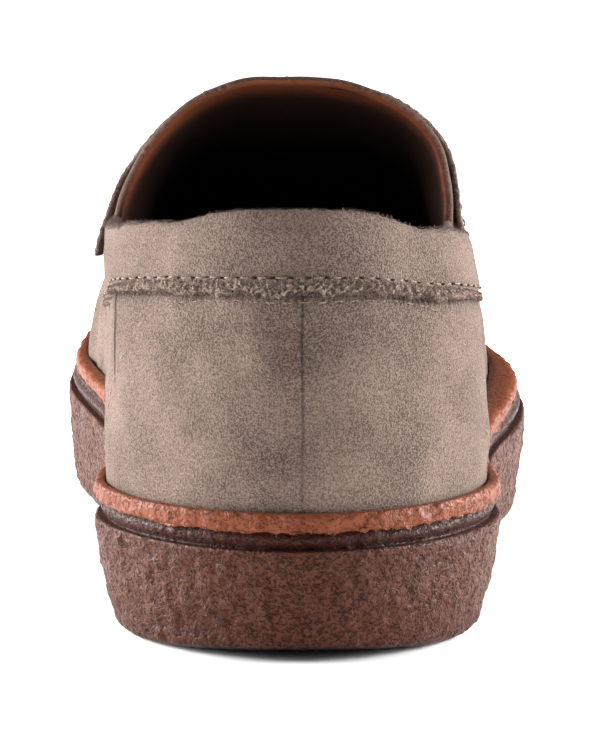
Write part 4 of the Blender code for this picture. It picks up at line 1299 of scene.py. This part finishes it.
def tassel(name, node, side, seed):
    """A tassel: a bound head with two wraps, and strips cut from one piece of suede that fan out."""
    rng = np.random.default_rng(seed)
    shares = np.linspace(0.0, TASSEL_HEAD_SHARE + 0.04, 26)
    point, _, sideways, normal = tassel_frames(side, shares)
    t = shares / TASSEL_HEAD_SHARE
    bulge = 0.60 + 0.40 * np.sqrt(np.clip(1.0 - (1.0 - np.clip(t / 0.35, 0, 1)) ** 2, 0, 1))
    wraps = 1.0 + 0.07 * bump(t, 0.22, 0.07) + 0.09 * bump(t, 0.80, 0.06) - 0.10 * bump(t, 0.95, 0.05)
    around = np.linspace(0.0, 2 * math.pi, 40, endpoint=False)
    folds = 1.0 + 0.03 * np.cos(13 * around)[None] * smoothstep(t, 0.0, 0.3)[:, None]
    wide = (TASSEL_HEAD_WIDTH / 2 * bulge * wraps)[:, None] * folds
    deep = (TASSEL_THICKNESS / 2 * 0.95 * bulge * wraps)[:, None] * folds
    middle = point + normal * (CLEARANCE * 2 + TASSEL_THICKNESS / 2)
    head = (
        middle[:, None]
        + sideways[:, None] * (np.cos(around) * wide)[..., None]
        + normal[:, None] * (np.sin(around) * deep)[..., None]
    )
    piece = tube_piece(name + "_head", head, TRIM_SUEDE)
    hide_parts(node)
    # Strips: each starts on an oval under the head's rim and runs to a wider, flatter oval at the hem.
    layers = []
    for ring_share, count in ((1.0, 18), (0.52, 10)):
        start = np.arange(count) / count * 2 * math.pi + rng.uniform(-0.12, 0.12, count)
        for angle in start:
            end = 1.0 + rng.uniform(-0.05, 0.03)
            run = np.linspace(TASSEL_HEAD_SHARE - 0.03, end, 15)
            p, forward, across, up = tassel_frames(side, run)
            k = (run - run[0]) / (run[-1] - run[0])
            wave = 0.0005 * np.sin(k * rng.uniform(3, 6) + rng.uniform(0, 6)) * k
            fan = 0.90 + 0.10 * k
            x = np.cos(angle) * ring_share * (TASSEL_HEAD_WIDTH / 2 * 0.86 * (1 - k) + TASSEL_SKIRT_WIDTH / 2 * fan * k)
            z = np.sin(angle) * ring_share * TASSEL_THICKNESS / 2 * (0.80 - 0.16 * k)
            mid = p + across * (x + wave)[:, None] + up * (CLEARANCE * 2 + TASSEL_THICKNESS / 2 * (1 - 0.16 * k) + z)[:, None]
            out = unit(across * math.cos(angle) + up * math.sin(angle))
            flat = unit(np.cross(forward, out))
            half_w, half_t = 0.00095, 0.00048
            corner = np.array([(-1, -1), (1, -1), (1, 1), (-1, 1)])
            loop = mid[:, None] + flat[:, None] * (corner[:, 0] * half_w)[None, :, None]
            loop = loop + out[:, None] * (corner[:, 1] * half_t)[None, :, None]
            layers.append(loop)
    strips = np.array(layers)
    ends = strips[:, [0, -1]].mean(axis=2, keepdims=True) + (strips[:, [0, -1]] - strips[:, [0, -1]].mean(axis=2, keepdims=True)) * 0.01
    strips = np.concatenate([ends[:, :1], strips, ends[:, 1:]], axis=1)
    one = quads(strips.shape[1], 4, wrap_cols=True)
    faces = (one[None] + np.arange(len(strips))[:, None, None] * strips.shape[1] * 4).reshape(-1, 4)
    outward = strips - strips.mean(axis=2, keepdims=True)
    made = mesh_piece(name + "_strips", strips, faces, TRIM_SUEDE, None, outward)
    made.data.shade_flat()


def swept(path, radius_a, radius_b, out, sides=12):
    """Rings of an oval tube along a path; out is the way its radius_b faces."""
    way = unit(np.gradient(path, axis=0))
    across = unit(np.cross(way, out))
    out = np.cross(across, way)
    around = np.arange(sides) / sides * 2 * math.pi
    return (
        path[:, None]
        + across[:, None] * (np.cos(around) * radius_a)[None, :, None]
        + out[:, None] * (np.sin(around) * radius_b)[None, :, None]
    )


def tassel_knot():
    """The lace's knot: two wraps round a folded core, and an arm to each tassel's head."""
    point, forward, sideways, normal = apron_frame(KNOT_STATION, 0.0)
    lift = STRAP_LIFT + STRAP_THICKNESS + CLEARANCE * 2 + KNOT_HEIGHT / 2
    middle = point + normal * lift
    t = np.linspace(-1.0, 1.0, 34)
    body = np.sqrt(np.clip(1.0 - np.abs(t) ** 2.6, 0.0, 1.0))
    waist = 1.0 - 0.16 * bump(t, 0.0, 0.10) - 0.16 * bump(np.abs(t), 0.55, 0.08)
    around = np.linspace(0.0, 2 * math.pi, 36, endpoint=False)
    twist = 1.0 + 0.05 * np.cos(around[None] * 2 + t[:, None] * 5.0)
    radius = (body * waist)[:, None] * twist
    core = (
        middle
        + sideways * (t * KNOT_LENGTH / 2)[:, None, None]
        + forward * (np.cos(around) * radius * KNOT_WIDTH / 2)[..., None]
        + normal * (np.sin(around) * radius * KNOT_HEIGHT / 2)[..., None]
    )
    piece = tube_piece("knot", core, TRIM_SUEDE)
    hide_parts("tassel_knot")
    over_strap = STRAP_LIFT + STRAP_THICKNESS + CLEARANCE + LACE_WIDTH / 2
    for word, side in (("lateral", LATERAL), ("medial", MEDIAL)):
        spots = []
        rows = ((KNOT_STATION, 0.10), (STRAP_FRONT_TOP - 0.012, 0.55), (STRAP_FRONT_TOP + 0.006, 0.85))
        for s, share in rows:
            p, _, _, up = apron_frame(s, side * TASSEL_SPREAD * share)
            spots.append(p + up * over_strap)
        p, ahead, _, up = apron_frame(TASSEL_START, side * TASSEL_SPREAD)
        spots.append(p + up * (CLEARANCE * 2 + TASSEL_THICKNESS * 0.34) + ahead * 0.0008)
        ts = np.linspace(0, 3, 40)
        path = np.stack([through(np.arange(4), [q[i] for q in spots], ts) for i in range(3)], axis=-1)
        rings = swept(path, LACE_WIDTH / 2, LACE_WIDTH / 2 * 0.72, normal)
        tube_piece("lace_arm_" + word, rings, TRIM_SUEDE)


def sole_taper(s):
    return HEEL_TAPER + (TOE_TAPER - HEEL_TAPER) * smoothstep(s, *FORE)


def sole_wall_point(u, side, height, inset, beveled):
    """Point of the cup's outside at a height over the tread and an inset from the outline."""
    s = station(u)
    plan = outline(u, side, inset)
    back = (along(0.0) + HEEL_BEVEL_RUN - plan[..., 1]) / HEEL_BEVEL_RUN
    inside = np.clip((s - ARCH[0]) / (ARCH[1] - ARCH[0]), 0.0, 1.0)
    lift = HEEL_BEVEL * np.clip(back, 0.0, 1.0) ** 2 + ARCH_LIFT * np.sin(math.pi * inside) ** 2
    return np.concatenate([plan, (height + spring(s) + lift * beveled)[..., None]], axis=-1)


# Side of the cup from tread to lip. Columns: height in metres, share of the taper, extra inset in metres,
# share of the heel's bevel, share of the crepe's lumps.
SOLE_SIDE = np.array([
    (0.0000, 1.00, 0.0060, 1.00, 0.0),
    (0.0000, 1.00, 0.0040, 1.00, 0.0),
    (0.0001, 1.00, 0.0028, 1.00, 0.2),
    (0.0004, 1.00, 0.0014, 1.00, 0.5),
    (0.0010, 0.99, 0.0005, 1.00, 0.8),
    (0.0020, 0.96, 0.0001, 0.95, 1.0),
    (0.0035, 0.88, 0.0000, 0.85, 1.0),
    (0.0110, 0.42, 0.0000, 0.35, 1.0),
    (0.0190, 0.12, 0.0000, 0.08, 1.0),
    (0.0222, 0.02, 0.0000, 0.00, 1.0),
    (0.0230, 0.00, 0.0000, 0.00, 0.7),
    (0.0234, 0.00, 0.0002, 0.00, 0.5),
    (0.0236, 0.00, 0.0006, 0.00, 0.4),
])


# Rows of the side's underneath, painted near black: painted shade under the sole's edge
TREAD_ROWS = 9


def crepe_cup():
    """Outside of the cup: tread edge, tapered wall with crepe lumps, and its rounded top edge.

    The side's profile is carried round the outline; rows are spread evenly along the profile.
    """
    u, side = ring(1000)
    heights = SOLE_SIDE[:, 0]
    key = np.arange(len(heights), dtype=float)
    rows = np.concatenate([np.linspace(0, 6, 19)[:-1], np.linspace(6, 9, 52)[:-1], np.linspace(9, 12, 13)])
    cols = [np.interp(rows, key, SOLE_SIDE[:, k]) for k in range(5)]
    height, taper, extra, beveled, lumpy = (c[:, None] for c in cols)
    u_grid, side_grid = np.broadcast_arrays(u[None], side[None] + 0 * height)
    s = station(u_grid)
    inset = sole_taper(s) * taper + extra
    base = sole_wall_point(u_grid, side_grid, height + 0 * s, inset, beveled)
    lumps = 0.00013 * ripple(base, 0.0048, 61) + 0.00009 * ripple(base, 0.0024, 62) + 0.00025 * ripple(base, 0.05, 63)
    base = sole_wall_point(u_grid, side_grid, height + 0 * s, inset - lumps * lumpy, beveled)
    centre = np.array([0.0, 0.0, 0.012])
    outward = base - centre * np.array([0, 0, 1]) - np.array([0, 1, 0]) * base * 0.6
    faces = quads(*base.shape[:2], wrap_cols=True)
    # The rows under the edge take the near-black crepe: painted shade under the sole's edge.
    under = faces[:, 0] // len(u) < TREAD_ROWS
    piece = mesh_piece("crepe_cup", base, faces[~under], CREPE, None, outward)
    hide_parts("outsole")
    mesh_piece("tread_edge", base, faces[under], SHADED_TREAD_CREPE, None, outward)
    # Tread: shallow ripples of crepe from edge to edge, in the near-black crepe of painted shade.
    edge = base[0]
    half = len(u) // 2
    lateral, medial = edge[: half + 1], np.concatenate([edge[:1], edge[:half - 1:-1]])
    shares = np.linspace(0.0, 1.0, 60)[:, None, None]
    tread = lateral[None] * (1 - shares) + medial[None] * shares
    mesh_piece(
        "tread", tread, quads(*tread.shape[:2]), SHADED_TREAD_CREPE, None,
        np.broadcast_to(np.array([0.0, 0.0, -1.0]), tread.shape)
    )
    return u, side


def groove_and_ledge():
    """The recessed layer over the wall: ledge, groove face and the shelf that the lip stands on."""
    u, side = ring(900)
    s = station(u)
    ledge = np.linspace(0.0005, GROOVE_DEPTH + 0.0004, 5)
    rows = [sole_wall_point(u, side, np.full_like(u, WALL_TOP), np.full_like(u, k), 0.0) for k in ledge]
    for share in np.linspace(0.0, 1.0, 14):
        height = WALL_TOP + (GROOVE_TOP + 0.0006 - WALL_TOP) * share
        inset = GROOVE_DEPTH + 0.0004 * math.cos(share * 2 * math.pi)
        rows.append(sole_wall_point(u, side, np.full_like(u, height), np.full_like(u, inset), 0.0))
    shelf = beside_upper(u, side, GROOVE_TOP + 0.0006 + spring(s), CLEARANCE)
    rows.append(shelf)
    grid = np.array(rows)
    rough = 0.00010 * ripple(grid, 0.0030, 64)
    grid[1:-1, :, :2] += (unit(grid - np.array([0, 0, 0]))[..., :2] * rough[..., None])[1:-1]
    outward = grid * np.array([1.0, 0.4, 0.0]) + np.array([0, 0, 0.02])
    # The piece takes the darker groove crepe: painted shade in the recess under the lip.
    mesh_piece(
        "crepe_groove", grid, quads(*grid.shape[:2], wrap_cols=True), CREPE_GROOVE, None, outward
    )


# Section of the rolled lip. Columns: share from the upper's face (0) to the outline (1), height share.
LIP_SECTION = np.array([
    (0.00, -0.10),
    (0.00, 0.55),
    (0.06, 0.88),
    (0.25, 1.00),
    (0.55, 1.00),
    (0.82, 0.95),
    (0.96, 0.80),
    (1.00, 0.55),
    (0.99, 0.28),
    (0.94, 0.06),
    (0.80, -0.02),
    (0.40, -0.05),
])


def rolled_lip():
    """Foxing lip round the upper's foot, with a torn skirt of flash under its outer edge."""
    u, side = ring(1000)
    s = station(u)
    low = GROOVE_TOP + CLEARANCE
    key = np.arange(len(LIP_SECTION), dtype=float)
    rows = np.linspace(0, len(LIP_SECTION) - 1, 30)
    shares = np.interp(rows, key, LIP_SECTION[:, 0])
    tall = np.interp(rows, key, LIP_SECTION[:, 1])
    grid = []
    outer = outline(u, side, BAND_FORE_INSET * smoothstep(s, *FORE))
    for share, high in zip(shares, tall):
        z = low + (BAND_TOP - low) * high + spring(s)
        near = beside_upper(u, side, z, np.full_like(u, CLEARANCE * 0.5))
        plan = near[:, :2] * (1 - share) + outer * share
        grid.append(np.concatenate([plan, z[:, None]], axis=-1))
    grid = np.array(grid)
    rough = 0.00016 * ripple(grid, 0.0060, 65) + 0.00008 * ripple(grid, 0.0022, 66)
    inner = beside_upper(u, side, BAND_TOP + spring(s), np.zeros_like(u))
    ray = unit(np.concatenate([outer - inner[:, :2], np.zeros((len(u), 1))], axis=-1))
    fade = smoothstep(shares, 0.3, 0.9)[:, None, None]
    grid = grid + ray[None] * rough[..., None] * fade
    middle = grid.mean(axis=0, keepdims=True)
    piece = mesh_piece(
        "rolled_lip", grid, quads(*grid.shape[:2], True, True), FOXING, None, grid - middle
    )
    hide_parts("foxing_band")
    # The flash is a thin ragged skirt that hangs from the lip's lower outer edge.
    edge = np.concatenate([outer, (low + spring(s))[:, None]], axis=-1)
    hang = 0.00028 + 0.00016 * ripple(edge, 0.0065, 67) + 0.00014 * ripple(edge, 0.0018, 68)
    hang = np.clip(hang, 0.0, 0.0009)
    flare = 0.00022 * ripple(edge, 0.004, 69)
    steps = np.linspace(0.0, 1.0, 5)
    skirt = []
    for direction in (1, -1):
        order = steps if direction > 0 else steps[::-1]
        for k in order:
            inset = 0.00042 + (0.00016 if direction < 0 else 0.0) - flare * k
            plan = edge[:, :2] - ray[:, :2] * inset[:, None]
            z = edge[:, 2] + 0.0004 - (hang + 0.0004) * k
            skirt.append(np.concatenate([plan, z[:, None]], axis=-1))
    skirt = np.array(skirt)
    mesh_piece(
        "lip_flash", skirt, quads(*skirt.shape[:2], True, True), FOXING, None,
        skirt - skirt.mean(axis=0, keepdims=True)
    )
    # A few pale crumbs of crepe cling under the lip.
    rng = np.random.default_rng(17)
    pick = rng.integers(0, len(edge), 150)
    roots = edge[pick] - np.stack([ray[pick, 0] * 0.0001, ray[pick, 1] * 0.0001, hang[pick] * 0.8], axis=-1)
    fibres("lip_crumbs", roots, ray[pick] - np.array([0, 0, 0.5]), 0.0009, 18, THREAD)


def footbed():
    """The insole keeps its solid and takes the lining leather."""
    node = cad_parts["insole"]
    for k in range(len(node.material_slots)):
        node.material_slots[k].material = LINING


def studio():
    """Floor, two side softboxes, a dim white sky, and the camera behind the heel."""
    bpy.ops.mesh.primitive_plane_add(size=20.0)
    floor = bpy.context.object
    floor.name = "floor"
    floor.data.materials.append(floor_card("floor_card"))
    world = bpy.data.worlds.new("studio")
    world.use_nodes = True
    bpy.context.scene.world = world
    background = world.node_tree.nodes["Background"]
    background.inputs[0].default_value = (1.0, 1.0, 1.0, 1.0)
    background.inputs[1].default_value = WORLD_STRENGTH
    for name, x, power, turn_deg in (
        ("left_softbox", -SOFTBOX_REACH, SOFTBOX_POWER[0], -SOFTBOX_TURN_DEG),
        ("right_softbox", SOFTBOX_REACH, SOFTBOX_POWER[1], SOFTBOX_TURN_DEG),
    ):
        data = bpy.data.lights.new(name, "AREA")
        data.shape = "RECTANGLE"
        data.size, data.size_y = SOFTBOX_SIZE
        data.energy = power
        lamp = bpy.data.objects.new(name, data)
        lamp.location = (x, SOFTBOX_BACK, SOFTBOX_HEIGHT)
        lamp.rotation_euler = (0.0, math.radians(turn_deg), 0.0)
        bpy.context.scene.collection.objects.link(lamp)
    data = bpy.data.cameras.new("camera")
    data.lens = CAMERA_LENS
    data.clip_start = 0.05
    camera = bpy.data.objects.new("camera", data)
    camera.location = CAMERA_AT
    camera.rotation_euler = (math.radians(90.0 - CAMERA_TILT_DEG), 0.0, 0.0)
    bpy.context.scene.collection.objects.link(camera)
    bpy.context.scene.camera = camera
    bpy.context.scene.view_settings.view_transform = "Standard"


crepe_cup()
groove_and_ledge()
rolled_lip()
footbed()
suede_upper()
edge_points, edge_normal, edge_off = rolled_topline()
lining()
seam = raw_seam()
seam_points, seam_normal, seam_up, seam_run = seam
stitches(
    "seam_stitches", seam_points + seam_up * 0.0015 + seam_normal * 0.0011, seam_normal,
    0.0037, 0.0023, 0.00021, 0.00002, THREAD
)
# Dark pieces between the seam's stitches: painted shade of their holes.
stitches(
    "seam_hole_shade", seam_points + seam_up * 0.0015 + seam_normal * 0.0011, seam_normal,
    0.0037, 0.0012, 0.00022, 0.00002, HOLE_SHADE, phase=1.0
)
line_points, line_normal = counter_line(COUNTER_REACH, 900)
stitches("counter_stitches", line_points, line_normal, 0.0034, 0.0022, 0.00018, 0.00004, THREAD)
# Dark pieces between the counter's stitches: painted shade of their holes.
line_points, line_normal = counter_line(COUNTER_HOLES_REACH, 600)
stitches("counter_hole_shade", line_points, line_normal, 0.0034, 0.0011, 0.00018, 0.00004, HOLE_SHADE, phase=1.0)
apron_seam()
edge_fuzz(edge_points, edge_normal, edge_off, seam)
saddle_strap()
tassel_knot()
tassel("tassel_a", "tassel_lateral", LATERAL, 71)
tassel("tassel_b", "tassel_medial", MEDIAL, 72)
studio()
